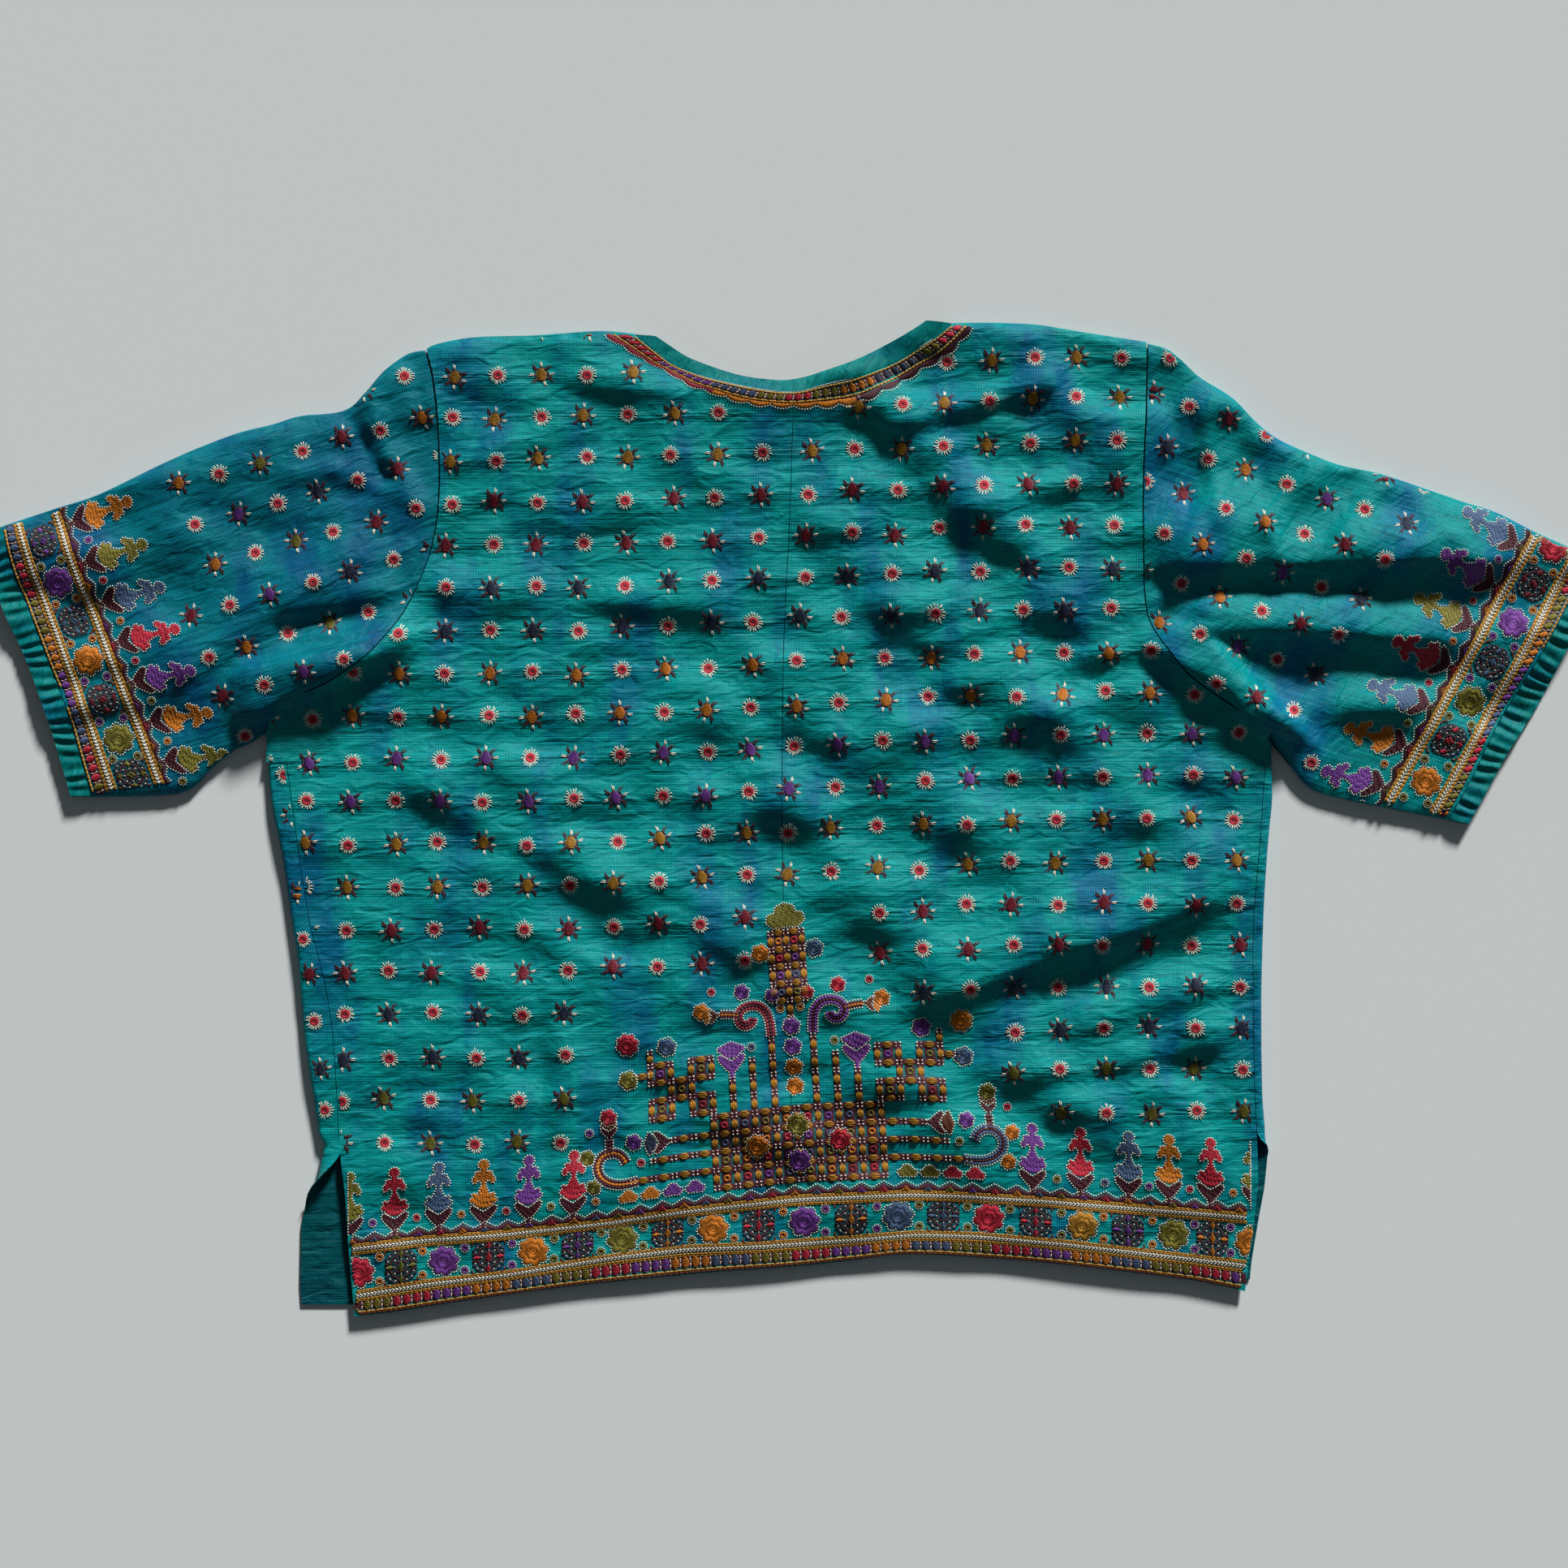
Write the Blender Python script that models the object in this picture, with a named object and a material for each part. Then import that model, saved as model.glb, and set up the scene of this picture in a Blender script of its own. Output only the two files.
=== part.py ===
"""A short-sleeved silk blouse (choli) laid out flat on its front, seen from the back.

The row frame has +X across the shoulders, +Y from hem to neck and +Z up from the table.
Every size below is in millimetres. The lower ply is the front, flat on the table, and the
upper ply is the two back halves. Each sleeve is one flattened tube. The cloth is a wall.
"""

import bpy
import bmesh
import numpy as np

# Driving sizes of the cloth and its seams
CLOTH = 1.2
SEAM = 0.35
METRE = 0.001

# How high the upper ply lies, in the middle, at the edges that roll down, and by the hem
LOFT = 5.4
LEAST_LOFT = 3.6
LOFT_SOFTNESS = 2.0
EDGE_HEIGHT = 3.2
EDGE_ROLL = 8.0
HEM_LOFT = 4.0
HEM_FADE = 70.0

# The folds fade out over this width beside the side seams, which end at this height, to this share
SIDE_FADE = 30.0
SIDE_TOP = 30.0
LEAST_FOLD = 0.15

# Where a wall leans it is thicker downwards, up to this many times
MOST_SLANT = 1.3

# A flattened sleeve: how far its upper ply is drawn in from its edge, outside and inside, where each edge is
# halfway up, and the least room between its plies
SLEEVE_INSET = 1.0
SLEEVE_MARGIN = 1.6
EDGE_MIDDLE = 1.4
INNER_MIDDLE = 1.6
LEAST_ROOM = 0.5

# The puckers of the hand-stitched cuff bands
CUFF_PUCKERS = 24
PUCKER_HEIGHT = 0.8
POINTS_PER_PUCKER = 4
PUCKER_FADE = 0.06
CUFF_GAP = 1.5 * SEAM

# The front's edge rolled over a side: four turned steps up, then two flat ones
ROLL_STEP = 22.5
ROLL_TURNS = [ROLL_STEP, 3 * ROLL_STEP, 5 * ROLL_STEP, 7 * ROLL_STEP, 8 * ROLL_STEP, 8 * ROLL_STEP]
ROLL_POINTS = len(ROLL_TURNS)
LEAST_FLAP = 0.6
UNDERARM_INSET = 0.4
JOG_DROP = 8.0
JOG_RISE = 1.2
FLAP_GAP = 2 * SEAM
LEFT_ROLLED_WIDTH = 6.0
RIGHT_ROLLED_WIDTH = 3.0
LEFT_ROWS_TO_OPEN = 3.4
RIGHT_ROWS_TO_OPEN = 1.2
OPENING_START = 0.4

# How many rows of points each stretch of a body side has, from hem to shoulder
SLIT_ROWS = 8
SIDE_ROWS = 13
UNDERARM_ROWS = 2
ARMHOLE_ROWS = 15
BACK_COLUMNS = 18
FRONT_SIDE_COLUMNS = 5
NECK_COLUMNS = 12
SLEEVE_RINGS = 15
RELAXING_PASSES = 30

# Outlines, each a list of x, y from the hem upwards or from the body outwards
LEFT_SLIT = [(-238, -269), (-240, -247), (-241.5, -229), (-243, -204), (-245, -188), (-246.4, -172)]
LEFT_SEAM = [(-246.4, -172), (-248.6, -128), (-251.7, -101), (-256.8, -76), (-262, -56),
             (-267.2, -24), (-270.4, 0), (-274.6, 30)]
LEFT_SILHOUETTE = [(-256.8, -172), (-262, -139), (-265.1, -118), (-267, -97), (-268.6, -76), (-272.4, -52),
                   (-275.4, -30), (-279, -10), (-282.7, 7), (-284.8, 30)]
LEFT_ARMHOLE = [(-286.5, 46), (-281, 57), (-271, 65), (-254, 72), (-238, 82), (-226, 92), (-212, 110),
                (-202, 130), (-196, 147), (-192.3, 168), (-191.8, 194), (-193, 221), (-195.5, 241),
                (-199, 254)]
LEFT_FRONT_SLIT = [(-266.4, -266), (-267.4, -253), (-266.8, -220), (-263.4, -203.5), (-259.6, -187),
                   (-256.8, -172)]

RIGHT_SLIT = [(244.6, -255.5), (246.6, -238), (249, -221), (250.8, -204), (251.6, -190), (250.6, -166)]
RIGHT_SEAM = [(250.6, -166), (249.4, -145), (248.6, -95), (248.8, -57), (250.4, -33), (252.6, -9),
              (254.2, 15), (255, 28)]
RIGHT_SILHOUETTE = [(255, -166), (253.6, -145), (253.2, -95), (254.6, -47), (256, -23), (257.4, -6),
                    (259, 10), (258.8, 28)]
RIGHT_FRONT_SLIT = [(246, -262), (248, -240), (252, -216), (255, -200), (256.6, -184), (256.4, -166)]
RIGHT_ARMHOLE = [(258.5, 43.5), (255.4, 48.9), (249, 53.6), (240, 58.8), (226, 68), (213, 78), (203, 90),
                 (195, 102), (190.4, 116), (189, 147), (189, 175), (189.6, 203), (191, 231), (191.2, 257.6)]

BACK_HEM = [(-238, -269), (-215, -266.4), (-174, -260), (-122, -253), (-49, -245.7), (3, -241.8),
            (34, -238.4), (58, -235.4), (82, -236), (137, -240), (186, -245.6), (219, -250),
            (244.6, -255.5)]
BACK_TOP_LEFT = [(-199, 254), (-193, 256.7), (-173, 260.3), (-140, 261.4), (-105, 263.6), (-86, 262.2)]
BACK_NECK = [(-86, 262.2), (-78.5, 256), (-71.8, 250.6), (-63.4, 244.6), (-46.6, 238.6), (-21, 233),
             (0, 231), (17, 235), (34, 239), (55, 247.5), (66, 254), (76, 260.2), (86, 268)]
BACK_TOP_RIGHT = [(86, 268), (112, 268), (133, 266.9), (160.6, 262.4), (191.2, 257.6)]
NECK_EDGE = [(-74.8, 261.6), (-68.5, 257.4), (-61.7, 252.8), (-53.3, 248.4), (-30, 240.6), (-8.8, 237.8),
             (4, 239), (17.3, 243), (34.2, 249), (51, 257.4), (63.6, 264.6), (71.7, 269.9)]
CENTRE_SEAM = [(3, -241.8), (-3, -120), (-5.7, -40), (-6.4, 20), (-5.3, 99), (-2.4, 159), (0, 231)]
FRONT_NECK = [(-86, 262.2), (-80, 234), (-66, 196), (-45, 166), (-20, 148), (0, 143), (20, 148), (45, 167),
              (66, 198), (80, 236), (86, 268)]
FRONT_NECK_EDGE = [(-77, 262.2), (-71.5, 236), (-58, 202), (-39, 174), (-17, 157), (0, 152), (17, 157),
                   (39, 175), (58, 204), (71.5, 238), (77, 268)]
FRONT_HEM_RISE = 6.0
NECK_POINT = 86

LEFT_SLEEVE_TOP = [(-199, 254), (-208, 252.6), (-221, 243.6), (-229, 234.4), (-239.6, 223.3), (-250, 220),
                   (-267, 218.6), (-282, 214), (-300.7, 209.4), (-323, 201), (-343.3, 192), (-376.6, 176),
                   (-398.8, 168.7), (-428.3, 158.9)]
LEFT_SLEEVE_FOOT = [(-286.5, 46), (-294, 41), (-302.5, 37.2), (-315.5, 27), (-325, 17), (-340, 13),
                    (-379.4, 12)]
LEFT_CUFF_LINE = [(-379.4, 12), (-386.5, 36.5), (-393.4, 61), (-403.5, 87), (-414, 114), (-422, 134),
                  (-428.3, 158.9)]
LEFT_CUFF_EDGE = [(-391, 12), (-403.5, 53.5), (-415.8, 87), (-430.3, 119.5), (-441, 154)]
RIGHT_SLEEVE_TOP = [(191.2, 257.6), (201.4, 255), (211, 247.5), (220, 239), (236.6, 228.8), (251.4, 214),
                    (262.5, 205.7), (283, 196.5), (296, 191.8), (318, 187), (342, 179), (364.3, 171.4),
                    (381, 166), (401.3, 155.7), (419.8, 147.4), (431, 141.6)]
RIGHT_SLEEVE_FOOT = [(258.5, 43.5), (264.2, 36.8), (269, 28.4), (279.6, 16.4), (299.6, 10.3), (318, 6.6),
                     (354, -0.4)]
RIGHT_CUFF_LINE = [(354, -0.4), (366.7, 22.7), (377.5, 45.6), (389.6, 66), (405.7, 93), (419.8, 119),
                   (431, 141.6)]
RIGHT_CUFF_EDGE = [(364.8, -2.9), (377.5, 20), (388, 38.9), (403, 62), (419.3, 94), (442, 135.3)]

# The folds of the upper ply: a crest or trough from one point to the other, its half width, its height, and
# its lean, which is above 0 where the side to the right of the line, going from first to second, is steeper
FOLD_COLUMNS = ("x0", "y0", "x1", "y1", "half_width", "height", "lean")
FOLDS = [
    (88, -90, 252, -31, 19, 9.4, 0.5),
    (104, -108, 250, -60, 11, -2.4, 0.0),
    (160, -110, 247, -86, 11, 4.6, 0.4),
    (111, -142, 247, -118, 10, 3.2, 0.4),
    (150, -168, 240, -150, 14, 2.0, 0.2),
    (205, 88, 258, 49, 11, 9.0, 0.35),
    (120, 58, 236, 48, 9, 2.4, 0.3),
    (54, 214, 138, 234, 8, 4.0, 0.4),
    (88, 230, 128, 222, 7, -1.5, 0.0),
    (-118, 236, -70, 232, 8, 3.4, 0.3),
    (-184, 6, -34, -68, 14, 4.2, 0.4),
    (-125, -100, -120, -180, 10, 1.8, 0.0),
    (-139, -97, -134, -180, 5, -1.4, 0.0),
    (-184, 121, -34, 114, 10, 2.2, 0.3),
    (-176, 196, -110, 214, 10, 2.4, 0.2),
    (90, 168, 178, 190, 10, 2.4, 0.3),
    (89, 72, 186, 94, 9, 2.4, 0.3),
    (-60, 40, 60, 46, 26, 2.0, 0.0),
    (10, 44, 150, 64, 10, 2.0, 0.3),
    (-210, -120, -150, -118, 16, 1.6, 0.0),
    (-325, 84, -244, 140, 14, 6.0, 0.3),
    (-264, 103, -230, 109, 8, -3.6, 0.0),
    (-268, 113, -222, 122, 8, 4.6, 0.45),
    (-268, 30, -236, 52, 16, -3.0, 0.0),
    (-292, 80, -238, 91, 8, 6.0, -0.45),
    (-288, 62, -224, 91, 17, 12.5, 0.45),
    (-304, 54, -298, 46, 9, -2.4, 0.0),
    (-368, 182, -300, 190, 10, 2.6, 0.3),
    (-243, 221, -222, 186, 4, -2.2, 0.0),
    (-231, 226, -212, 186, 7, 3.4, 0.0),
    (-374, 136, -285, 163, 13, 2.4, 0.2),
    (-372, 60, -330, 70, 14, 2.2, 0.0),
    (216, 139, 364, 142, 17, 12.0, 0.45),
    (222, 127, 340, 122, 9, -2.6, 0.0),
    (230, 105, 345, 100, 14, 9.0, 0.45),
    (262, 88, 336, 76, 9, -2.4, 0.0),
    (290, 66, 352, 46, 12, 3.4, 0.2),
    (231, 86, 283, 36, 8, 7.0, -0.4),
    (292, 202, 257, 160, 8, 4.2, 0.3),
    (319, 180, 292, 142, 7, 2.6, 0.0),
    (203, 226, 214, 172, 4, -2.0, 0.0),
    (222, 216, 230, 164, 8, 4.0, 0.3),
    (380, 140, 352, 124, 8, 2.0, 0.0),
]


def smooth_line(points, count):
    """count points spread evenly along a smooth curve through the given ones."""
    ring = np.array(points, float)
    ends = np.vstack([2 * ring[0] - ring[1], ring, 2 * ring[-1] - ring[-2]])
    steps = np.linspace(0, 1, 9)[:-1, None]
    fine = []
    for before, start, end, after in zip(ends, ends[1:], ends[2:], ends[3:]):
        bend = 2 * before - 5 * start + 4 * end - after
        twist = 3 * start - before - 3 * end + after
        fine.append(start + 0.5 * ((end - before) * steps + bend * steps ** 2 + twist * steps ** 3))
    fine = np.vstack(fine + [ring[-1:]])
    return spread(fine, np.linspace(0, 1, count))


def spread(line, shares):
    """The points of a polyline that lie at the given shares of its length."""
    line = np.asarray(line, float)
    run = np.concatenate([[0], np.cumsum(np.linalg.norm(np.diff(line, axis=0), axis=1))])
    return np.column_stack([np.interp(np.asarray(shares) * run[-1], run, line[:, k]) for k in (0, 1)])


def at_heights(points, heights):
    """The points of an outline, whose y always rises, at the given heights."""
    fine = smooth_line(points, 160)
    return np.column_stack([np.interp(heights, fine[:, 1], fine[:, 0]), heights])


def crowded(count, at_start, at_end):
    """Shares from 0 to 1 with two extra ones close to each end that is asked for."""
    near = [0.012, 0.04]
    shares = list(np.linspace(0, 1, count))
    if at_start:
        shares[1:1] = near
    if at_end:
        shares[-1:-1] = [1 - near[1], 1 - near[0]]
    return np.array(shares)


def moved_along_normal(line, distance):
    """A line shifted sideways by a distance, to its left seen from start to end."""
    line = np.asarray(line, float)
    tangent = np.gradient(line, axis=0)
    tangent /= np.linalg.norm(tangent, axis=1)[:, None]
    return line + distance * np.column_stack([-tangent[:, 1], tangent[:, 0]])


def distance_to(lines, x, y):
    """How far each point lies from the nearest of some polylines."""
    best = np.full(np.shape(x), 1e9)
    for line in lines:
        for (x0, y0), (x1, y1) in zip(line, line[1:]):
            length = max((x1 - x0) ** 2 + (y1 - y0) ** 2, 1e-9)
            share = np.clip(((x - x0) * (x1 - x0) + (y - y0) * (y1 - y0)) / length, 0, 1)
            gap = np.hypot(x - x0 - share * (x1 - x0), y - y0 - share * (y1 - y0))
            best = np.minimum(best, gap)
    return best


# Edges where the upper ply rolls down to the lower one: all but the side folds and the cuff mouths
ROLLED_EDGES = [
    smooth_line(LEFT_SLEEVE_TOP, 40), smooth_line(RIGHT_SLEEVE_TOP, 40),
    smooth_line(LEFT_SLEEVE_FOOT, 24), smooth_line(RIGHT_SLEEVE_FOOT, 24),
    smooth_line(BACK_TOP_LEFT, 20), smooth_line(BACK_TOP_RIGHT, 20), smooth_line(NECK_EDGE, 40),
    np.array([(-286.5, 46), (-285.6, 36)]), np.array([(258.5, 43.5), (258.6, 34)]),
]


def fold(x, y, row):
    """The height that one row of the fold table adds at each point."""
    sizes = dict(zip(FOLD_COLUMNS, row))
    along = np.array([sizes["x1"] - sizes["x0"], sizes["y1"] - sizes["y0"]], float)
    length = np.linalg.norm(along)
    along /= length
    run = (x - sizes["x0"]) * along[0] + (y - sizes["y0"]) * along[1]
    side = (x - sizes["x0"]) * along[1] - (y - sizes["y0"]) * along[0]
    past = np.maximum(np.maximum(-run, run - length), 0)
    width = sizes["half_width"] * np.where(side > 0, 1 - sizes["lean"], 1 + sizes["lean"])
    return sizes["height"] * np.exp(-(side / width) ** 2 - (past / (1.3 * sizes["half_width"])) ** 2)


def smooth_step(value):
    """0 below 0, 1 above 1 and an S between them."""
    value = np.clip(value, 0, 1)
    return value * value * (3 - 2 * value)


def upper_ply(x, y):
    """Height of the upper ply's outer face above the table."""
    x, y = np.asarray(x, float), np.asarray(y, float)
    rise = sum(fold(x, y, row) for row in FOLDS)
    left_side = np.interp(y, *np.array(LEFT_SEAM).T[::-1])
    right_side = np.interp(y, *np.array(RIGHT_SEAM).T[::-1])
    side = np.where(x < 0, left_side, right_side)
    inside = LEAST_FOLD + (1 - LEAST_FOLD) * smooth_step((np.abs(side) - np.abs(x)) / SIDE_FADE)
    above = inside + (1 - inside) * smooth_step((y - SIDE_TOP) / SIDE_FADE)
    rise = rise * np.where(y < SIDE_TOP, inside, above)
    hem_y = np.interp(x, *np.array(BACK_HEM).T)
    by_hem = smooth_step((y - hem_y) / HEM_FADE)
    loft = HEM_LOFT + (LOFT - HEM_LOFT) * by_hem + rise * by_hem
    loft = LEAST_LOFT + np.logaddexp(0, LOFT_SOFTNESS * (loft - LEAST_LOFT)) / LOFT_SOFTNESS
    reach = np.clip(distance_to(ROLLED_EDGES, x, y) / EDGE_ROLL, 0, 1)
    return EDGE_HEIGHT + (loft - EDGE_HEIGHT) * np.sqrt(1 - (1 - reach) ** 2)


def under_face(x, y):
    """Height of the upper ply's inner face, a wall's thickness below the outer one."""
    step = 0.5
    slope = np.hypot(upper_ply(x + step, y) - upper_ply(x - step, y),
                     upper_ply(x, y + step) - upper_ply(x, y - step)) / (2 * step)
    return upper_ply(x, y) - CLOTH * np.clip(np.sqrt(1 + slope ** 2), 1, MOST_SLANT)


def lay(plan, height):
    """Plan points and their heights as points in space."""
    plan = np.asarray(plan, float)
    return np.dstack([plan[..., 0], plan[..., 1], np.broadcast_to(height, plan.shape[:-1])])


def grid_faces(rows, columns, closed=False, skip=lambda row, column: False):
    """The quads of a grid of points, with its last column joined to its first if it is closed."""
    across = columns if closed else columns - 1
    faces = []
    for row in range(rows - 1):
        for column in range(across):
            if not skip(row, column):
                beside = (column + 1) % columns
                faces.append((row * columns + column, row * columns + beside,
                              (row + 1) * columns + beside, (row + 1) * columns + column))
    return faces


def wall(name, outer, inner, faces, material):
    """A closed wall of cloth: its outer points, the inner point behind each, and the outer quads."""
    outer, inner = np.reshape(outer, (-1, 3)), np.reshape(inner, (-1, 3))
    behind = len(outer)
    shell = list(faces) + [tuple(point + behind for point in reversed(face)) for face in faces]
    edges = {}
    for face in faces:
        for start, end in zip(face, face[1:] + face[:1]):
            edges[(start, end)] = True
    for start, end in edges:
        if (end, start) not in edges:
            shell.append((end, start, start + behind, end + behind))
    mesh = bpy.data.meshes.new(name)
    mesh.from_pydata((np.vstack([outer, inner]) * METRE).tolist(), [], shell)
    tidy = bmesh.new()
    tidy.from_mesh(mesh)
    bmesh.ops.delete(tidy, geom=[vertex for vertex in tidy.verts if not vertex.link_faces], context="VERTS")
    bmesh.ops.triangulate(tidy, faces=tidy.faces[:])
    bmesh.ops.recalc_face_normals(tidy, faces=tidy.faces[:])
    tidy.to_mesh(mesh)
    tidy.free()
    mesh.materials.append(material)
    mesh.shade_smooth()
    mesh.set_sharp_from_angle(angle=0.6)
    made = bpy.data.objects.new(name, mesh)
    bpy.context.scene.collection.objects.link(made)
    return made


def cloth_material(name, colour, roughness):
    """A plain dyed cloth."""
    made = bpy.data.materials.new(name)
    made.use_nodes = True
    shader = made.node_tree.nodes["Principled BSDF"]
    shader.inputs["Base Color"].default_value = (*colour, 1)
    shader.inputs["Roughness"].default_value = roughness
    shader.inputs["Metallic"].default_value = 0.0
    return made


def side_heights(slit, seam, armhole):
    """The heights of the rows on one side of the body, the same count on either side."""
    bottom, slit_top = slit[0][1], seam[0][1]
    wrap_top, underarm = seam[-1][1], armhole[0][1]
    shoulder = armhole[-1][1]
    armhole_shares = crowded(ARMHOLE_ROWS - 3, True, True)
    return np.concatenate([
        np.linspace(bottom, slit_top, SLIT_ROWS + 1)[:-1],
        np.linspace(slit_top, wrap_top, SIDE_ROWS + 1),
        np.linspace(wrap_top + JOG_RISE, underarm, UNDERARM_ROWS + 1)[:-1],
        underarm + (shoulder - underarm) * armhole_shares,
    ])


def side_line(slit, seam, armhole, silhouette, heights):
    """The plan points of a back half's outer side at the given heights."""
    wrap_top, underarm = seam[-1][1], armhole[0][1]
    line = np.empty((len(heights), 2))
    jog_x = np.interp(underarm - JOG_DROP, [silhouette[-1][1], underarm], [silhouette[-1][0], armhole[0][0]])
    for index, height in enumerate(heights):
        if height < seam[0][1]:
            line[index] = at_heights(slit, [height])[0]
        elif height <= wrap_top:
            line[index] = at_heights(seam, [height])[0]
        elif height < underarm:
            line[index] = (jog_x, height)
        else:
            line[index] = at_heights(armhole, [height])[0]
    return line


def raised_hem(heights, slit_top):
    """The rows of the front, whose hem sits a little higher than the back's."""
    raised = np.linspace(heights[0] + FRONT_HEM_RISE, slit_top, SLIT_ROWS + 1)[:-1]
    return np.concatenate([raised, heights[SLIT_ROWS:]])


LEFT_HEIGHTS = side_heights(LEFT_SLIT, LEFT_SEAM, LEFT_ARMHOLE)
RIGHT_HEIGHTS = side_heights(RIGHT_SLIT, RIGHT_SEAM, RIGHT_ARMHOLE)
ROWS = len(LEFT_HEIGHTS)
ARMHOLE_START = SLIT_ROWS + SIDE_ROWS + 1 + UNDERARM_ROWS
WRAP_ROWS = range(SLIT_ROWS, SLIT_ROWS + SIDE_ROWS + 1)


def body_grid(left, right, shares, bottom_of, top_of):
    """Rows of plan points between two sides, bent so that the first and last rows follow two curves."""
    heights = 0.5 * (left[:, 1] + right[:, 1])
    share_up = ((heights - heights[0]) / (heights[-1] - heights[0]))[:, None]
    x = left[:, :1] + (right[:, :1] - left[:, :1]) * shares
    y = left[:, 1:] + (right[:, 1:] - left[:, 1:]) * shares
    bottom_bend = bottom_of(x[0]) - y[0]
    top_bend = top_of(x[-1]) - y[-1]
    return np.dstack([x, y + (1 - share_up) * bottom_bend + share_up * top_bend])


def curve_height(*lines):
    """A function from x to y along curves that run left to right."""
    fine = np.vstack([smooth_line(line, 80) for line in lines])
    return lambda x: np.interp(x, fine[:, 0], fine[:, 1])


def centre_line(shift):
    """The centre back seam at the rows' mean heights, moved sideways by half the seam's gap."""
    mean = 0.5 * (LEFT_HEIGHTS + RIGHT_HEIGHTS)
    share = (mean - mean[0]) / (mean[-1] - mean[0])
    bottom, top = CENTRE_SEAM[0][1], CENTRE_SEAM[-1][1]
    line = at_heights(CENTRE_SEAM, bottom + share * (top - bottom))
    return line + (shift, 0)


def back_half(name, side, centre, neck_x, top, material):
    """One half of the back, from its side seam to the centre seam, with a column at the neck point."""
    left, right = (side, centre) if side[0, 0] < 0 else (centre, side)
    shares = crowded(BACK_COLUMNS, side[0, 0] < 0, side[0, 0] > 0)
    neck_share = (neck_x - left[-1, 0]) / (right[-1, 0] - left[-1, 0])
    shares[np.argmin(np.abs(shares - neck_share))] = neck_share
    plan = body_grid(left, right, shares, curve_height(BACK_HEM), top)
    outer = lay(plan, upper_ply(plan[..., 0], plan[..., 1]))
    inner = lay(plan, under_face(plan[..., 0], plan[..., 1]))
    wall(name, outer, inner, grid_faces(*plan.shape[:2]), material)
    return plan


def side_flap(seam, silhouette, base, height, unfolded, edge_x):
    """The front's edge rolled over the side, as outer and inner points from the table round to the seam."""
    outward = np.sign(base)
    seam_x = at_heights(seam, [height])[0][0]
    roll = 0.5 * float(upper_ply(seam_x, height))
    silhouette_x = at_heights(silhouette, [height])[0][0]
    flat = max(abs(silhouette_x - seam_x) - roll, LEAST_FLAP)
    turns = np.radians(ROLL_TURNS)
    chord = 2 * roll * np.sin(np.radians(ROLL_STEP))
    lengths = np.array([chord] * (ROLL_POINTS - 2) + [flat / 2] * 2)
    stretch = 1.0 if unfolded == 0 else (1 - unfolded) + unfolded * abs(edge_x - base) / lengths.sum()
    turns, lengths = turns * (1 - unfolded), lengths * stretch
    steps = np.column_stack([outward * np.cos(turns), np.sin(turns)]) * lengths[:, None]
    path = np.vstack([(0, 0), np.cumsum(steps, axis=0)])
    before = np.concatenate([[0], turns])
    after = np.concatenate([turns, turns[-1:]])
    mean, half = (before + after) / 2, (after - before) / 2
    inward = np.column_stack([-outward * np.sin(mean), np.cos(mean)]) / np.cos(half)[:, None]
    behind = path + CLOTH * inward
    outer = [(base + along, height, up) for along, up in path]
    inner = [(base + along, height, up) for along, up in behind]
    return outer, inner


def unfolding(row, rows_to_open):
    """0 where the side flap is rolled over the back, 1 where it lies open in the slit."""
    return float(smooth_step((SLIT_ROWS - OPENING_START - row) / rows_to_open))


def front_sides(seam, silhouette, open_slit, armhole, heights, rolled_width):
    """Where the front's flat part ends in each row, and where its opened edge ends."""
    base, edge = np.empty(len(heights)), np.empty(len(heights))
    outward = np.sign(silhouette[0][0])
    for row, height in enumerate(heights):
        if row <= WRAP_ROWS[-1]:
            wrapped = at_heights(silhouette, [max(height, silhouette[0][1])])[0][0]
            roll = 0.5 * float(upper_ply(at_heights(seam, [max(height, seam[0][1])])[0][0], height))
            base[row] = wrapped - outward * roll
            open_edge = np.array(open_slit)
            edge[row] = np.interp(height, open_edge[:, 1], open_edge[:, 0])
            if row < SLIT_ROWS:
                base[row] = min(abs(base[row]), abs(edge[row]) - rolled_width) * outward
        elif row < ARMHOLE_START:
            joined = at_heights([silhouette[-1], armhole[0]], [height])[0][0]
            base[row] = edge[row] = joined - outward * UNDERARM_INSET
        else:
            base[row] = edge[row] = at_heights(armhole, [height])[0][0] - outward * 0.5 * SEAM
    return base, edge


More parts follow.
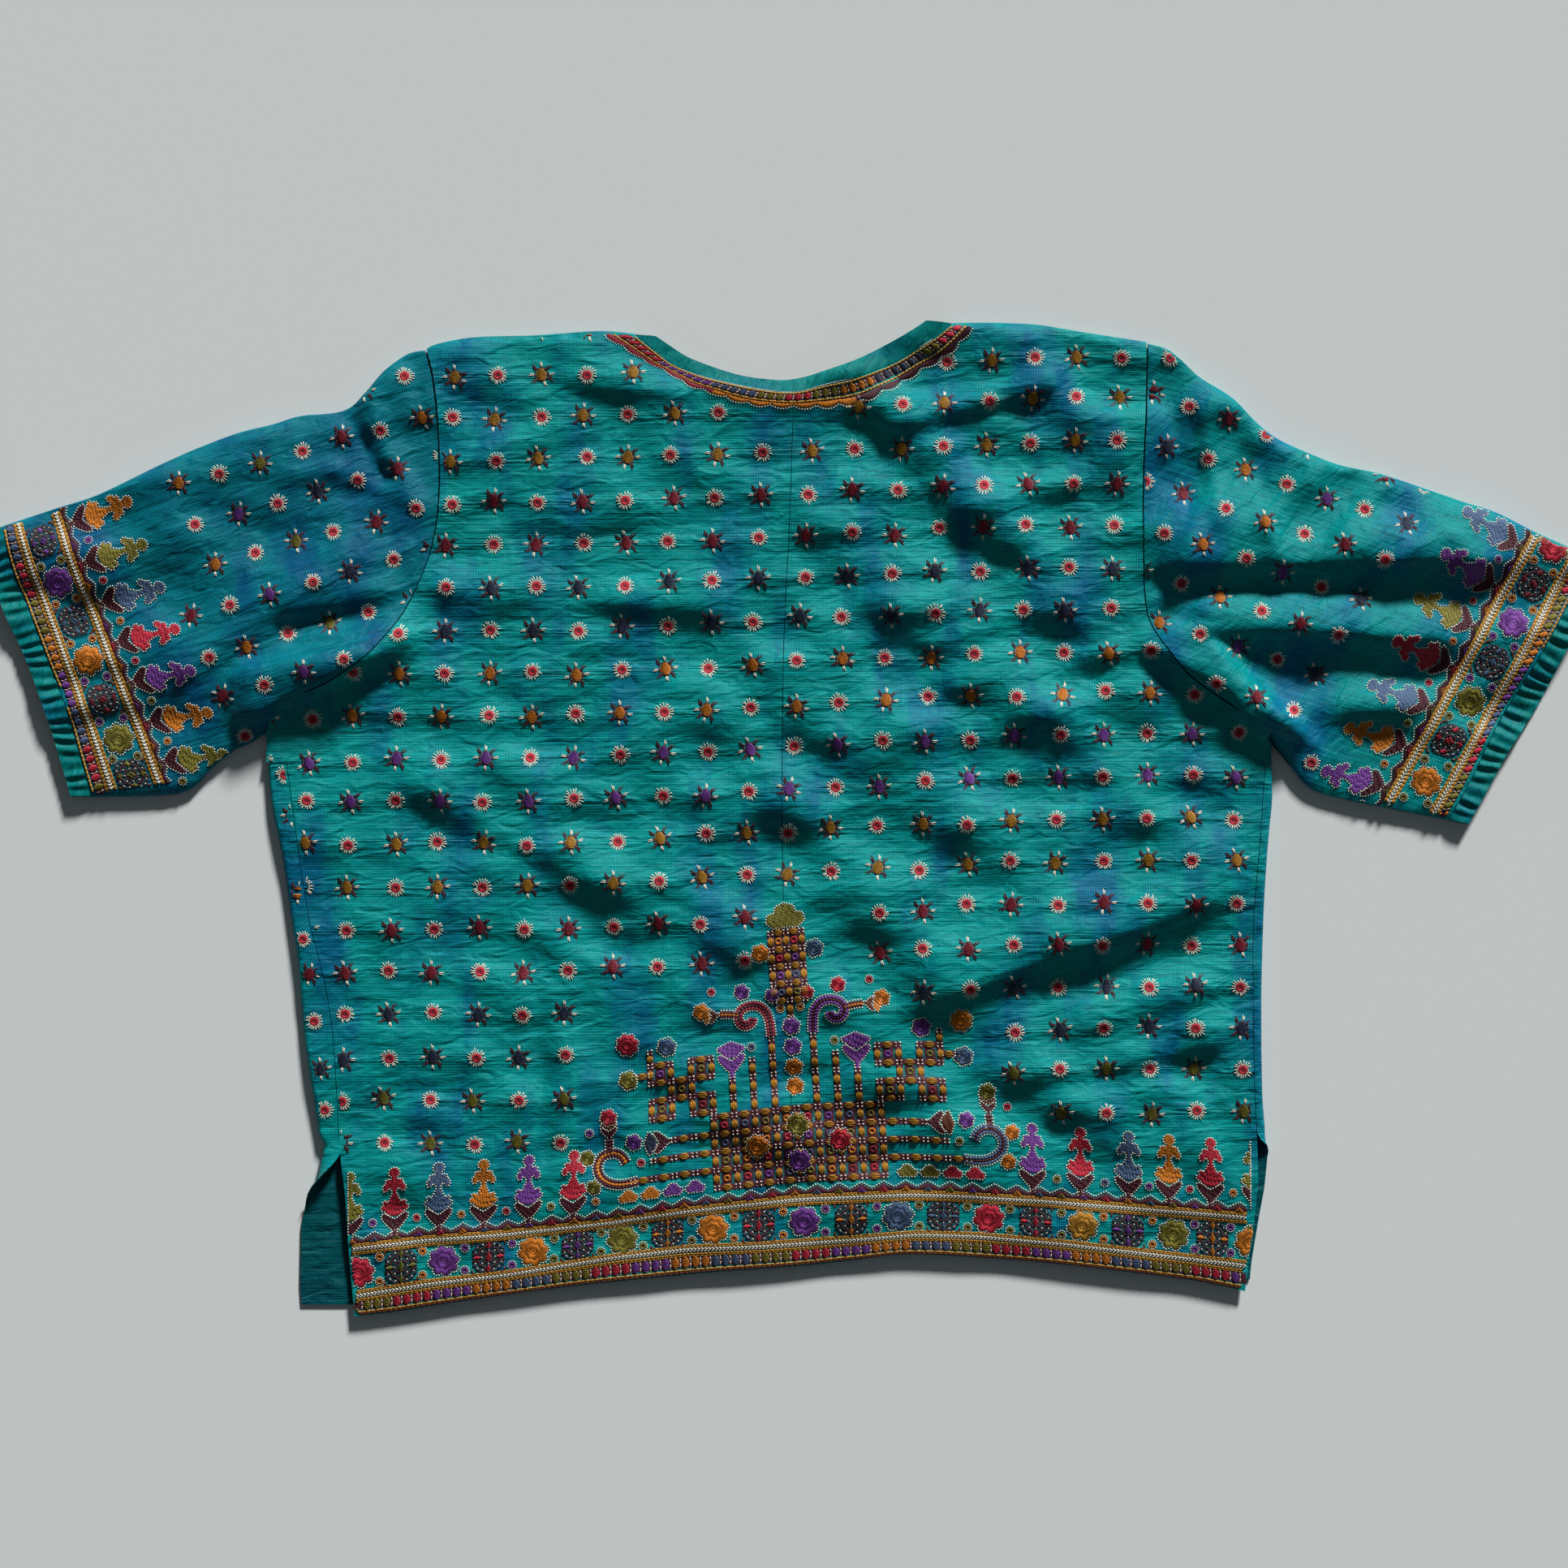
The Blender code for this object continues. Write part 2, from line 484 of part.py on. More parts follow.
def front_panel(material):
    """The whole front, flat on the table, with the edges that roll over each side."""
    left_heights = raised_hem(LEFT_HEIGHTS, LEFT_SEAM[0][1])
    right_heights = raised_hem(RIGHT_HEIGHTS, RIGHT_SEAM[0][1])
    sides = {
        -1: (LEFT_SEAM, LEFT_SILHOUETTE, LEFT_FRONT_SLIT, LEFT_ARMHOLE, left_heights, LEFT_ROLLED_WIDTH),
        1: (RIGHT_SEAM, RIGHT_SILHOUETTE, RIGHT_FRONT_SLIT, RIGHT_ARMHOLE, right_heights, RIGHT_ROLLED_WIDTH),
    }
    rows_to_open = {-1: LEFT_ROWS_TO_OPEN, 1: RIGHT_ROWS_TO_OPEN}
    ends = {key: front_sides(*value) for key, value in sides.items()}
    left = np.column_stack([ends[-1][0], left_heights])
    right = np.column_stack([ends[1][0], right_heights])
    neck_from, neck_to = [(x - left[-1, 0]) / (right[-1, 0] - left[-1, 0]) for x in (-NECK_POINT, NECK_POINT)]
    shares = np.concatenate([np.linspace(0, neck_from, FRONT_SIDE_COLUMNS + 1)[:-1],
                             np.linspace(neck_from, neck_to, NECK_COLUMNS + 1),
                             np.linspace(neck_to, 1, FRONT_SIDE_COLUMNS + 1)[1:]])
    hem, top = curve_height(BACK_HEM), curve_height(BACK_TOP_LEFT, FRONT_NECK, BACK_TOP_RIGHT)
    plan = body_grid(left, right, shares, lambda x: hem(x) + FRONT_HEM_RISE, top)
    columns = []
    for side in (-1, 1):
        seam, silhouette, _, _, heights, _ = sides[side]
        base, edge = ends[side]
        flap = [side_flap(seam, silhouette, base[row], max(heights[row], seam[0][1]),
                          unfolding(row, rows_to_open[side]) if row < SLIT_ROWS else 0.0, edge[row])
                if row <= WRAP_ROWS[-1] else None for row in range(ROWS)]
        plan_x = plan[:, 0 if side < 0 else -1]
        points = np.zeros((2, ROWS, ROLL_POINTS, 3))
        for row in range(ROWS):
            for step in range(ROLL_POINTS):
                for face in (0, 1):
                    points[face, row, step] = (
                        (flap[row][face][step + 1][0], plan_x[row, 1], flap[row][face][step + 1][2])
                        if flap[row] else (plan_x[row, 0], plan_x[row, 1], 0))
        points[:, WRAP_ROWS[-1], :, 1] -= FLAP_GAP
        columns.append(points[:, :, ::-1] if side < 0 else points)
    outer = np.concatenate([columns[0][0], lay(plan, 0.0), columns[1][0]], axis=1)
    inner = np.concatenate([columns[0][1], lay(plan, CLOTH), columns[1][1]], axis=1)
    count = outer.shape[1]

    def above_the_flap(row, column):
        return (column < ROLL_POINTS or column >= count - ROLL_POINTS - 1) and row >= WRAP_ROWS[-1]

    wall("front", outer, inner, grid_faces(ROWS, count, skip=above_the_flap), material)
    return plan[-1, FRONT_SIDE_COLUMNS:FRONT_SIDE_COLUMNS + NECK_COLUMNS + 1]


def sleeve_plan(armhole, cuff, foot, top, rings):
    """Plan points of a sleeve: rings from the armhole to the cuff, each from foot to top."""
    run = np.concatenate([[0], np.cumsum(np.linalg.norm(np.diff(armhole, axis=0), axis=1))])
    across = (run / run[-1])[None, :, None]
    cuff = spread(cuff, run / run[-1])
    along = np.linspace(0, 1, rings)[:, None, None]
    foot, top = spread(foot, along.ravel())[:, None], spread(top, along.ravel())[:, None]
    foot = foot + (1 - along) * (armhole[0] - foot[0])
    top = top + (1 - along) * (armhole[-1] - top[0])
    ruled = (1 - along) * armhole + along * cuff + (1 - across) * foot + across * top
    corners = ((1 - along) * ((1 - across) * armhole[0] + across * armhole[-1])
               + along * ((1 - across) * cuff[0] + across * cuff[-1]))
    plan = ruled - corners
    for _ in range(RELAXING_PASSES):
        plan[1:-1, 1:-1] = (plan[:-2, 1:-1] + plan[2:, 1:-1] + plan[1:-1, :-2] + plan[1:-1, 2:]) / 4
    return plan


def tube_section(plan, lift):
    """Outer and inner loops of flattened tube sections over rows of plan points, foot first.

    The lower ply lies on the table, the upper ply follows the garment's height, and a point halfway up
    closes each side. lift is what puckers add to the upper ply."""
    foot, top = plan[:, :1], plan[:, -1:]
    width = np.linalg.norm(top - foot, axis=2)[..., None]
    inset, margin = SLEEVE_INSET / width, SLEEVE_MARGIN / width
    share = np.concatenate([[0], np.cumsum(np.linalg.norm(np.diff(plan[0], axis=0), axis=1))])
    share = (share / share[-1])[None, :, None]

    def drawn_in(amount):
        pulled = amount + (1 - 2 * amount) * share
        return plan + (pulled - share) * (top - foot)

    upper, under = drawn_in(inset), drawn_in(margin)
    height = upper_ply(upper[..., 0], upper[..., 1]) + lift
    depth = under_face(under[..., 0], under[..., 1]) + lift
    depth = np.maximum(depth, CLOTH + LEAST_ROOM)
    outer = np.concatenate([lay(plan[:, :1], EDGE_MIDDLE), lay(upper, height),
                            lay(plan[:, -1:], EDGE_MIDDLE), lay(upper[:, ::-1], 0.0)], axis=1)
    inner = np.concatenate([lay(under[:, :1], INNER_MIDDLE), lay(under, depth),
                            lay(under[:, -1:], INNER_MIDDLE), lay(under[:, ::-1], CLOTH)], axis=1)
    return outer, inner


def sleeve(name, armhole_line, cuff, foot, top, material):
    """One sleeve: a flattened tube from the armhole to the cuff band."""
    armhole_line = np.array(armhole_line)
    outward = np.sign(armhole_line[0, 0])
    start = moved_along_normal(armhole_line, -outward * SEAM)
    cuff, foot, top = [smooth_line(line, 60) for line in (cuff, foot, top)]
    plan = sleeve_plan(start, cuff, foot, top, SLEEVE_RINGS)
    outer, inner = tube_section(plan, 0.0)
    wall(name, outer, inner, grid_faces(SLEEVE_RINGS, outer.shape[1], closed=True), material)


def cuff_band(name, line, edge, material):
    """The turned-back strip at a sleeve's mouth, puckered across by its hand stitching."""
    columns = CUFF_PUCKERS * POINTS_PER_PUCKER
    shares = np.linspace(0, 1, columns + 1)
    seam_line, free_edge = spread(smooth_line(line, 60), shares), spread(smooth_line(edge, 60), shares)
    outward = free_edge - seam_line
    seam_line = seam_line + CUFF_GAP * outward / np.linalg.norm(outward, axis=1)[:, None]
    plan = np.stack([seam_line, free_edge])
    fade = smooth_step(shares / PUCKER_FADE) * smooth_step((1 - shares) / PUCKER_FADE)
    wave = PUCKER_HEIGHT * fade * np.cos(2 * np.pi * CUFF_PUCKERS * shares)
    outer, inner = tube_section(plan, wave)
    across = columns + 3
    keep = list(range(across)) + [across + step for step in range(0, columns + 1, POINTS_PER_PUCKER * 2)]
    outer, inner = outer[:, keep], inner[:, keep]
    wall(name, outer, inner, grid_faces(2, outer.shape[1], closed=True), material)


def neck_band(name, seam_line, free_edge, height_of, material):
    """The narrow folded strip that finishes a neckline, beside the panel's edge."""
    run = np.concatenate([[0], np.cumsum(np.linalg.norm(np.diff(seam_line, axis=0), axis=1))])
    free_edge = spread(smooth_line(free_edge, 60), run / run[-1])
    seam_line = moved_along_normal(seam_line, SEAM)
    shares = np.linspace(0, 1, 3)[:, None, None]
    plan = seam_line[None] + (free_edge - seam_line)[None] * shares
    outer, inner = height_of(plan)
    wall(name, lay(plan, outer), lay(plan, inner), grid_faces(*plan.shape[:2]), material)


def clear_scene():
    """Removes what the scene starts with."""
    for found in list(bpy.data.objects):
        bpy.data.objects.remove(found)


def centre_on_base():
    """Moves every piece so that the middle of the garment's box on the table is the origin."""
    corners = np.array([vertex.co for piece in bpy.data.objects for vertex in piece.data.vertices])
    low, high = corners.min(0), corners.max(0)
    for piece in bpy.data.objects:
        for vertex in piece.data.vertices:
            vertex.co.x -= (low[0] + high[0]) / 2
            vertex.co.y -= (low[1] + high[1]) / 2
            vertex.co.z -= low[2]


def main():
    clear_scene()
    silk = cloth_material("teal_silk", (0.0, 0.23, 0.205), 0.48)
    binding = cloth_material("teal_binding", (0.0, 0.2, 0.185), 0.5)
    left_side = side_line(LEFT_SLIT, LEFT_SEAM, LEFT_ARMHOLE, LEFT_SILHOUETTE, LEFT_HEIGHTS) + (SEAM, 0)
    right_side = side_line(RIGHT_SLIT, RIGHT_SEAM, RIGHT_ARMHOLE, RIGHT_SILHOUETTE, RIGHT_HEIGHTS) - (SEAM, 0)
    left_plan = back_half("back_left", left_side, centre_line(-SEAM / 2), -NECK_POINT,
                          curve_height(BACK_TOP_LEFT, BACK_NECK), silk)
    right_plan = back_half("back_right", right_side, centre_line(SEAM / 2), NECK_POINT,
                           curve_height(BACK_NECK, BACK_TOP_RIGHT), silk)
    front_neck_line = front_panel(silk)
    sleeve("sleeve_left", at_heights(LEFT_ARMHOLE, LEFT_HEIGHTS[ARMHOLE_START:]), LEFT_CUFF_LINE,
           LEFT_SLEEVE_FOOT, LEFT_SLEEVE_TOP, silk)
    sleeve("sleeve_right", at_heights(RIGHT_ARMHOLE, RIGHT_HEIGHTS[ARMHOLE_START:]), RIGHT_CUFF_LINE,
           RIGHT_SLEEVE_FOOT, RIGHT_SLEEVE_TOP, silk)
    cuff_band("cuff_band_left", LEFT_CUFF_LINE, LEFT_CUFF_EDGE, binding)
    cuff_band("cuff_band_right", RIGHT_CUFF_LINE, RIGHT_CUFF_EDGE, binding)
    back_tops = np.vstack([left_plan[-1], right_plan[-1]])
    neck_line = back_tops[np.abs(back_tops[:, 0]) < NECK_POINT + SEAM]

    def on_the_back(plan):
        height = upper_ply(plan[..., 0], plan[..., 1])
        return height, height - CLOTH

    neck_band("neck_band_back", neck_line, NECK_EDGE, on_the_back, binding)
    neck_band("neck_band_front", front_neck_line, FRONT_NECK_EDGE, lambda plan: (CLOTH, 0.0), binding)
    centre_on_base()


main()
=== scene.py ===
import bpy
import numpy as np
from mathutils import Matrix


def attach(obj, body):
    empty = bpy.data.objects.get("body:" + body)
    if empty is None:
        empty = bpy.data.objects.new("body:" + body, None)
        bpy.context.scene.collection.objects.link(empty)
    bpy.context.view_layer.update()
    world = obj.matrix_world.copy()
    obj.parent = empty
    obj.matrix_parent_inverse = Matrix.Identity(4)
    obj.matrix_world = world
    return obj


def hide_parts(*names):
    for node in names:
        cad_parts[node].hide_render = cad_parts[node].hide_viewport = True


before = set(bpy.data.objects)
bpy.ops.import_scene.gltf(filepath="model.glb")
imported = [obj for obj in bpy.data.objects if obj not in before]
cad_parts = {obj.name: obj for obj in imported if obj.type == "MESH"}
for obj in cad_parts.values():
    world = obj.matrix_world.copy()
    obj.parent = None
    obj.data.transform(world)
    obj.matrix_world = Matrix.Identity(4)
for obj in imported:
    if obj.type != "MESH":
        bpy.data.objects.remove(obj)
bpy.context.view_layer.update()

# A hand-embroidered silk choli blouse, laid flat with its back up. Every size is in millimetres on the
# garment's own plan, +X to the right, +Y to the neck and +Z up from the table, until to_metres() turns it
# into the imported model's frame.

# Back of the blouse: two panels of teal shot silk, joined by a seam down the centre back.
# The cloth lies on the front panel, so it follows the front's outline and lies in soft creases,
# which were smoothed by hand and are deepest below the right armhole and beside the waist.

CLOTH = 0.9
SEAM = 0.35
PLAN_CENTRE = np.array([0.5, 0.468, 0.0])
LOFT = 5.4
LEAST_LOFT = 2.5
EDGE_HEIGHT = 3.0
EDGE_ROLL = 8.0
SIDE_FADE = 30.0
HEM_LOFT = 4.0
HEM_FADE = 70.0
SLIT_ROWS = 24
SIDE_ROWS = 60
UNDERARM_ROWS = 5
ARMHOLE_ROWS = 72
BACK_COLUMNS = 84

LEFT_SLIT = [(-238, -269), (-240, -247), (-241.5, -229), (-243, -204), (-245, -188), (-246.4, -172)]
LEFT_SEAM = [(-246.4, -172), (-248.6, -128), (-251.7, -101), (-256.8, -76), (-262, -56),
             (-267.2, -24), (-270.4, 0), (-274.6, 30)]
LEFT_SILHOUETTE = [(-256.8, -172), (-262, -139), (-265.1, -118), (-267, -97), (-268.6, -76), (-272.4, -52),
                   (-275.4, -30), (-279, -10), (-282.7, 7), (-284.8, 30)]
LEFT_ARMHOLE = [(-286.5, 46), (-281, 57), (-271, 65), (-254, 72), (-238, 82), (-226, 92), (-212, 110),
                (-202, 130), (-196, 147), (-192.3, 168), (-191.8, 194), (-193, 221), (-195.5, 241),
                (-199, 254)]
RIGHT_SLIT = [(244.6, -255.5), (246.6, -238), (249, -221), (250.8, -204), (251.6, -190), (250.6, -166)]
RIGHT_SEAM = [(250.6, -166), (249.4, -145), (248.6, -95), (248.8, -57), (250.4, -33), (252.6, -9),
              (254.2, 15), (255, 28)]
RIGHT_SILHOUETTE = [(255, -166), (253.6, -145), (253.2, -95), (254.6, -47), (256, -23), (257.4, -6),
                    (259, 10), (258.8, 28)]
RIGHT_ARMHOLE = [(258.5, 43.5), (255.4, 48.9), (249, 53.6), (240, 58.8), (226, 68), (213, 78), (203, 90),
                 (195, 102), (190.4, 116), (189, 147), (189, 175), (189.6, 203), (191, 231), (191.2, 257.6)]
BACK_HEM = [(-238, -269), (-215, -266.4), (-174, -260), (-122, -253), (-49, -245.7), (3, -241.8),
            (34, -238.4), (58, -235.4), (82, -236), (137, -240), (186, -245.6), (219, -250),
            (244.6, -255.5)]
BACK_TOP_LEFT = [(-199, 254), (-193, 256.7), (-173, 260.3), (-140, 261.4), (-105, 263.6), (-86, 262.2)]
BACK_NECK = [(-86, 262.2), (-78.5, 256), (-71.8, 250.6), (-63.4, 244.6), (-46.6, 238.6), (-21, 233),
             (0, 231), (17, 235), (34, 239), (55, 247.5), (66, 254), (76, 260.2), (86, 268)]
BACK_TOP_RIGHT = [(86, 268), (112, 268), (133, 266.9), (160.6, 262.4), (191.2, 257.6)]
NECK_EDGE = [(-74.8, 261.6), (-68.5, 257.4), (-61.7, 252.8), (-53.3, 248.4), (-30, 240.6), (-8.8, 237.8),
             (4, 239), (17.3, 243), (34.2, 249), (51, 257.4), (63.6, 264.6), (71.7, 269.9)]
CENTRE_SEAM = [(3, -241.8), (-3, -120), (-5.7, -40), (-6.4, 20), (-5.3, 99), (-2.4, 159), (0, 231)]
LEFT_SLEEVE_TOP = [(-199, 254), (-208, 252.6), (-221, 243.6), (-229, 234.4), (-239.6, 223.3), (-250, 220),
                   (-267, 218.6), (-282, 214), (-300.7, 209.4), (-323, 201), (-343.3, 192), (-376.6, 176),
                   (-398.8, 168.7), (-428.3, 158.9)]
LEFT_SLEEVE_FOOT = [(-286.5, 46), (-294, 41), (-302.5, 37.2), (-315.5, 27), (-325, 17), (-340, 13),
                    (-379.4, 12)]
RIGHT_SLEEVE_TOP = [(191.2, 257.6), (201.4, 255), (211, 247.5), (220, 239), (236.6, 228.8), (251.4, 214),
                    (262.5, 205.7), (283, 196.5), (296, 191.8), (318, 187), (342, 179), (364.3, 171.4),
                    (381, 166), (401.3, 155.7), (419.8, 147.4), (431, 141.6)]
RIGHT_SLEEVE_FOOT = [(258.5, 43.5), (264.2, 36.8), (269, 28.4), (279.6, 16.4), (299.6, 10.3), (318, 6.6),
                     (354, -0.4)]

# Creases: a crest or trough from one point to the other, its half width, its height, and its lean, above 0
# where the side to the right of the line is steeper
CREASE_COLUMNS = ("x0", "y0", "x1", "y1", "half_width", "height", "lean")
MAIN_CREASES = [
    (88, -90, 252, -31, 19, 9.4, 0.5),
    (104, -108, 250, -60, 11, -2.4, 0.0),
    (160, -110, 247, -86, 11, 4.6, 0.4),
    (111, -142, 247, -118, 10, 3.2, 0.4),
    (150, -168, 240, -150, 14, 2.0, 0.2),
    (205, 88, 258, 49, 11, 9.0, 0.35),
    (120, 58, 236, 48, 9, 2.4, 0.3),
    (54, 214, 138, 234, 8, 4.0, 0.4),
    (88, 230, 128, 222, 7, -1.5, 0.0),
    (-118, 236, -70, 232, 8, 3.4, 0.3),
    (-184, 6, -34, -68, 14, 4.2, 0.4),
    (-125, -100, -120, -180, 10, 1.8, 0.0),
    (-139, -97, -134, -180, 5, -1.4, 0.0),
    (-184, 121, -34, 114, 10, 2.2, 0.3),
    (-176, 196, -110, 214, 10, 2.4, 0.2),
    (90, 168, 178, 190, 10, 2.4, 0.3),
    (89, 72, 186, 94, 9, 2.4, 0.3),
    (-60, 40, 60, 46, 26, 2.0, 0.0),
    (10, 44, 150, 64, 10, 2.0, 0.3),
    (-210, -120, -150, -118, 16, 1.6, 0.0),
    (-325, 84, -244, 140, 14, 6.0, 0.3),
    (-264, 103, -230, 109, 8, -3.6, 0.0),
    (-268, 113, -222, 122, 8, 4.6, 0.45),
    (-268, 30, -236, 52, 16, -3.0, 0.0),
    (-292, 80, -238, 91, 8, 6.0, -0.45),
    (-288, 62, -224, 91, 17, 12.5, 0.45),
    (-304, 54, -298, 46, 9, -2.4, 0.0),
    (-368, 182, -300, 190, 10, 2.6, 0.3),
    (-243, 221, -222, 186, 4, -2.2, 0.0),
    (-231, 226, -212, 186, 7, 3.4, 0.0),
    (-374, 136, -285, 163, 13, 2.4, 0.2),
    (-372, 60, -330, 70, 14, 2.2, 0.0),
    (216, 139, 364, 142, 17, 12.0, 0.45),
    (222, 127, 340, 122, 9, -2.6, 0.0),
    (230, 105, 345, 100, 14, 9.0, 0.45),
    (262, 88, 336, 76, 9, -2.4, 0.0),
    (290, 66, 352, 46, 12, 3.4, 0.2),
    (231, 86, 283, 36, 8, 7.0, -0.4),
    (292, 202, 257, 160, 8, 4.2, 0.3),
    (319, 180, 292, 142, 7, 2.6, 0.0),
    (203, 226, 214, 172, 4, -2.0, 0.0),
    (222, 216, 230, 164, 8, 4.0, 0.3),
    (380, 140, 352, 124, 8, 2.0, 0.0),
]
SMALL_CREASES = [
    (-170, 176, -60, 168, 6, 1.2, 0.3),
    (-160, 150, -90, 152, 5, -0.9, 0.0),
    (-150, 96, -40, 88, 6, 1.1, 0.3),
    (-120, 62, -20, 56, 5, -0.8, 0.0),
    (-230, 60, -150, 52, 7, 1.5, 0.3),
    (-236, 30, -120, 20, 6, 1.0, 0.3),
    (-225, -20, -150, -30, 6, 1.0, 0.2),
    (-150, -60, -60, -96, 7, 1.3, 0.3),
    (-215, -84, -120, -90, 6, 0.9, 0.0),
    (-90, -30, 0, -60, 6, 1.1, 0.3),
    (-60, 196, -10, 190, 6, -1.0, 0.0),
    (-20, 130, 60, 136, 8, 1.4, 0.3),
    (40, 110, 120, 124, 7, 1.6, 0.3),
    (30, 170, 80, 182, 6, 1.2, 0.3),
    (110, 140, 180, 152, 7, 1.5, 0.3),
    (20, 90, 90, 84, 6, -0.9, 0.0),
    (60, 20, 200, 30, 7, 1.6, 0.3),
    (40, -10, 160, 6, 6, 1.1, 0.3),
    (60, -40, 170, -10, 6, 1.3, 0.3),
    (180, 20, 250, 24, 6, 1.6, 0.3),
    (160, 0, 250, 12, 5, -1.0, 0.0),
    (190, -20, 252, -14, 6, 1.4, 0.3),
    (40, -80, 140, -60, 6, 1.3, 0.2),
    (130, -96, 200, -80, 5, -1.0, 0.0),
    (170, -104, 245, -84, 6, 1.5, 0.3),
    (180, -130, 240, -122, 6, 1.1, 0.2),
    (-70, -110, 10, -116, 7, 1.2, 0.2),
    (20, -110, 70, -100, 6, 1.1, 0.2),
    (194, 120, 240, 128, 5, 1.6, 0.2),
    (200, 110, 245, 104, 4, -1.2, 0.0),
    (206, 100, 250, 84, 5, 1.8, 0.2),
    (216, 76, 256, 50, 4, -1.6, 0.0),
    (240, 60, 262, 34, 5, 2.0, 0.0),
    (251, 212, 237, 177, 5, 2.2, 0.4),
    (266, 196, 261, 187, 4, 1.5, 0.3),
    (286, 195, 280, 183, 4, 2.0, 0.4),
    (262, 171, 245, 159, 5, 1.8, 0.3),
    (311, 179, 295, 157, 6, 2.4, 0.4),
    (318, 161, 307, 148, 5, 2.0, 0.3),
    (339, 150, 327, 141, 5, 2.2, 0.3),
    (352, 166, 345, 159, 5, 2.0, 0.3),
    (362, 164, 358, 155, 4, 1.5, 0.2),
    (220, 168, 209, 137, 5, 2.2, 0.4),
    (288, 102, 269, 93, 5, 2.0, 0.3),
    (252, 122, 222, 116, 5, 1.6, 0.3),
    (300, 120, 350, 124, 6, 1.6, 0.2),
    (310, 96, 352, 92, 6, 1.3, 0.2),
    (236, 196, 262, 140, 5, 1.6, 0.0),
    (306, 176, 330, 150, 5, 1.3, 0.0),
    (340, 168, 366, 140, 5, 1.2, 0.0),
    (-250, 128, -200, 150, 5, 1.6, 0.2),
    (-240, 118, -206, 122, 4, -1.4, 0.0),
    (-262, 100, -214, 100, 5, 1.8, 0.0),
    (-246, 90, -222, 100, 4, -1.2, 0.0),
    (-320, 110, -262, 128, 6, 1.6, 0.2),
    (-250, 190, -206, 172, 5, 1.6, 0.0),
    (-300, 176, -250, 190, 6, 1.3, 0.2),
    (-206, 246, -200, 212, 4, -1.2, 0.0),
    (-352, 110, -318, 122, 7, 1.2, 0.2),
    (-222, 208, -200, 180, 4, -1.0, 0.0),
]
# Crumples: small waves across the weft, drawn in a fixed order, which the tight embroidery pulls up
CRUMPLE_COUNT = 30
CRUMPLE_LENGTHS = (18, 75)
CRUMPLE_TURN_SPREAD = 30
CRUMPLE_PHASES = (0, 6.283)
CRUMPLE_SLOPE = 0.0115
crumple_draws = np.random.default_rng(11)
CRUMPLES = []
for _ in range(CRUMPLE_COUNT):
    length = crumple_draws.uniform(*CRUMPLE_LENGTHS)
    angle = np.radians(90 + crumple_draws.normal(0, CRUMPLE_TURN_SPREAD))
    CRUMPLES.append((length, angle, crumple_draws.uniform(*CRUMPLE_PHASES)))
# Where the crumples are calmer: beside the high creases, and left of the middle
CALM_BESIDE = 4.5
CALM_SHARE = 0.65
CALM_LEFT = 0.72
CALM_LEFT_FROM = -70
CALM_LEFT_OVER = 140
# What is left of a crease at the side seams and the hem, how high the sleeves begin, how far a crease runs
# out past its ends in half widths, and how sharply the cloth meets its least loft
EDGE_SHARE = 0.15
SLEEVES_FROM = 30
RUN_OUT = 1.3
LEAST_SHARPNESS = 2.0
SPAN_STEPS = 8
OUTLINE_POINTS = 160


def smooth_line(points, count):
    """count points spread evenly along a smooth curve through the given ones."""
    ring = np.array(points, float)
    ends = np.vstack([2 * ring[0] - ring[1], ring, 2 * ring[-1] - ring[-2]])
    steps = np.linspace(0, 1, SPAN_STEPS, endpoint=False)[:, None]
    fine = []
    for before, start, end, after in zip(ends, ends[1:], ends[2:], ends[3:]):
        bend = 2 * before - 5 * start + 4 * end - after
        twist = 3 * start - before - 3 * end + after
        fine.append(start + 0.5 * ((end - before) * steps + bend * steps ** 2 + twist * steps ** 3))
    return spread(np.vstack(fine + [ring[-1:]]), np.linspace(0, 1, count))


def run_along(line):
    """How far along a polyline each of its points is."""
    return np.concatenate([[0], np.cumsum(np.linalg.norm(np.diff(line, axis=0), axis=1))])


def spread(line, shares):
    """The points of a polyline that lie at the given shares of its length."""
    line = np.asarray(line, float)
    run = run_along(line)
    return np.column_stack([np.interp(np.asarray(shares) * run[-1], run, line[:, k]) for k in (0, 1)])


def at_heights(points, heights):
    """The points of an outline, whose y always rises, at the given heights."""
    fine = smooth_line(points, OUTLINE_POINTS)
    return np.column_stack([np.interp(heights, fine[:, 1], fine[:, 0]), heights])


def across_at(line, heights):
    """How far across a rising outline is at the given heights."""
    return np.interp(heights, *np.array(line).T[::-1])


def height_at(line, x):
    """How high an outline that runs left to right is at the given places."""
    return np.interp(x, *np.array(line).T)


def distance_to(lines, x, y):
    """How far each point lies from the nearest of some polylines."""
    best = np.full(np.shape(x), np.inf)
    for line in lines:
        for (x0, y0), (x1, y1) in zip(line, line[1:]):
            length = max((x1 - x0) ** 2 + (y1 - y0) ** 2, 1e-9)
            share = np.clip(((x - x0) * (x1 - x0) + (y - y0) * (y1 - y0)) / length, 0, 1)
            gap = np.hypot(x - x0 - share * (x1 - x0), y - y0 - share * (y1 - y0))
            best = np.minimum(best, gap)
    return best


def crease(x, y, row):
    """The height that one crease adds at each point."""
    sizes = dict(zip(CREASE_COLUMNS, row))
    along = np.array([sizes["x1"] - sizes["x0"], sizes["y1"] - sizes["y0"]], float)
    length = np.linalg.norm(along)
    along /= length
    run = (x - sizes["x0"]) * along[0] + (y - sizes["y0"]) * along[1]
    side = (x - sizes["x0"]) * along[1] - (y - sizes["y0"]) * along[0]
    past = np.maximum(np.maximum(-run, run - length), 0)
    width = sizes["half_width"] * np.where(side > 0, 1 - sizes["lean"], 1 + sizes["lean"])
    return sizes["height"] * np.exp(-(side / width) ** 2 - (past / (RUN_OUT * sizes["half_width"])) ** 2)


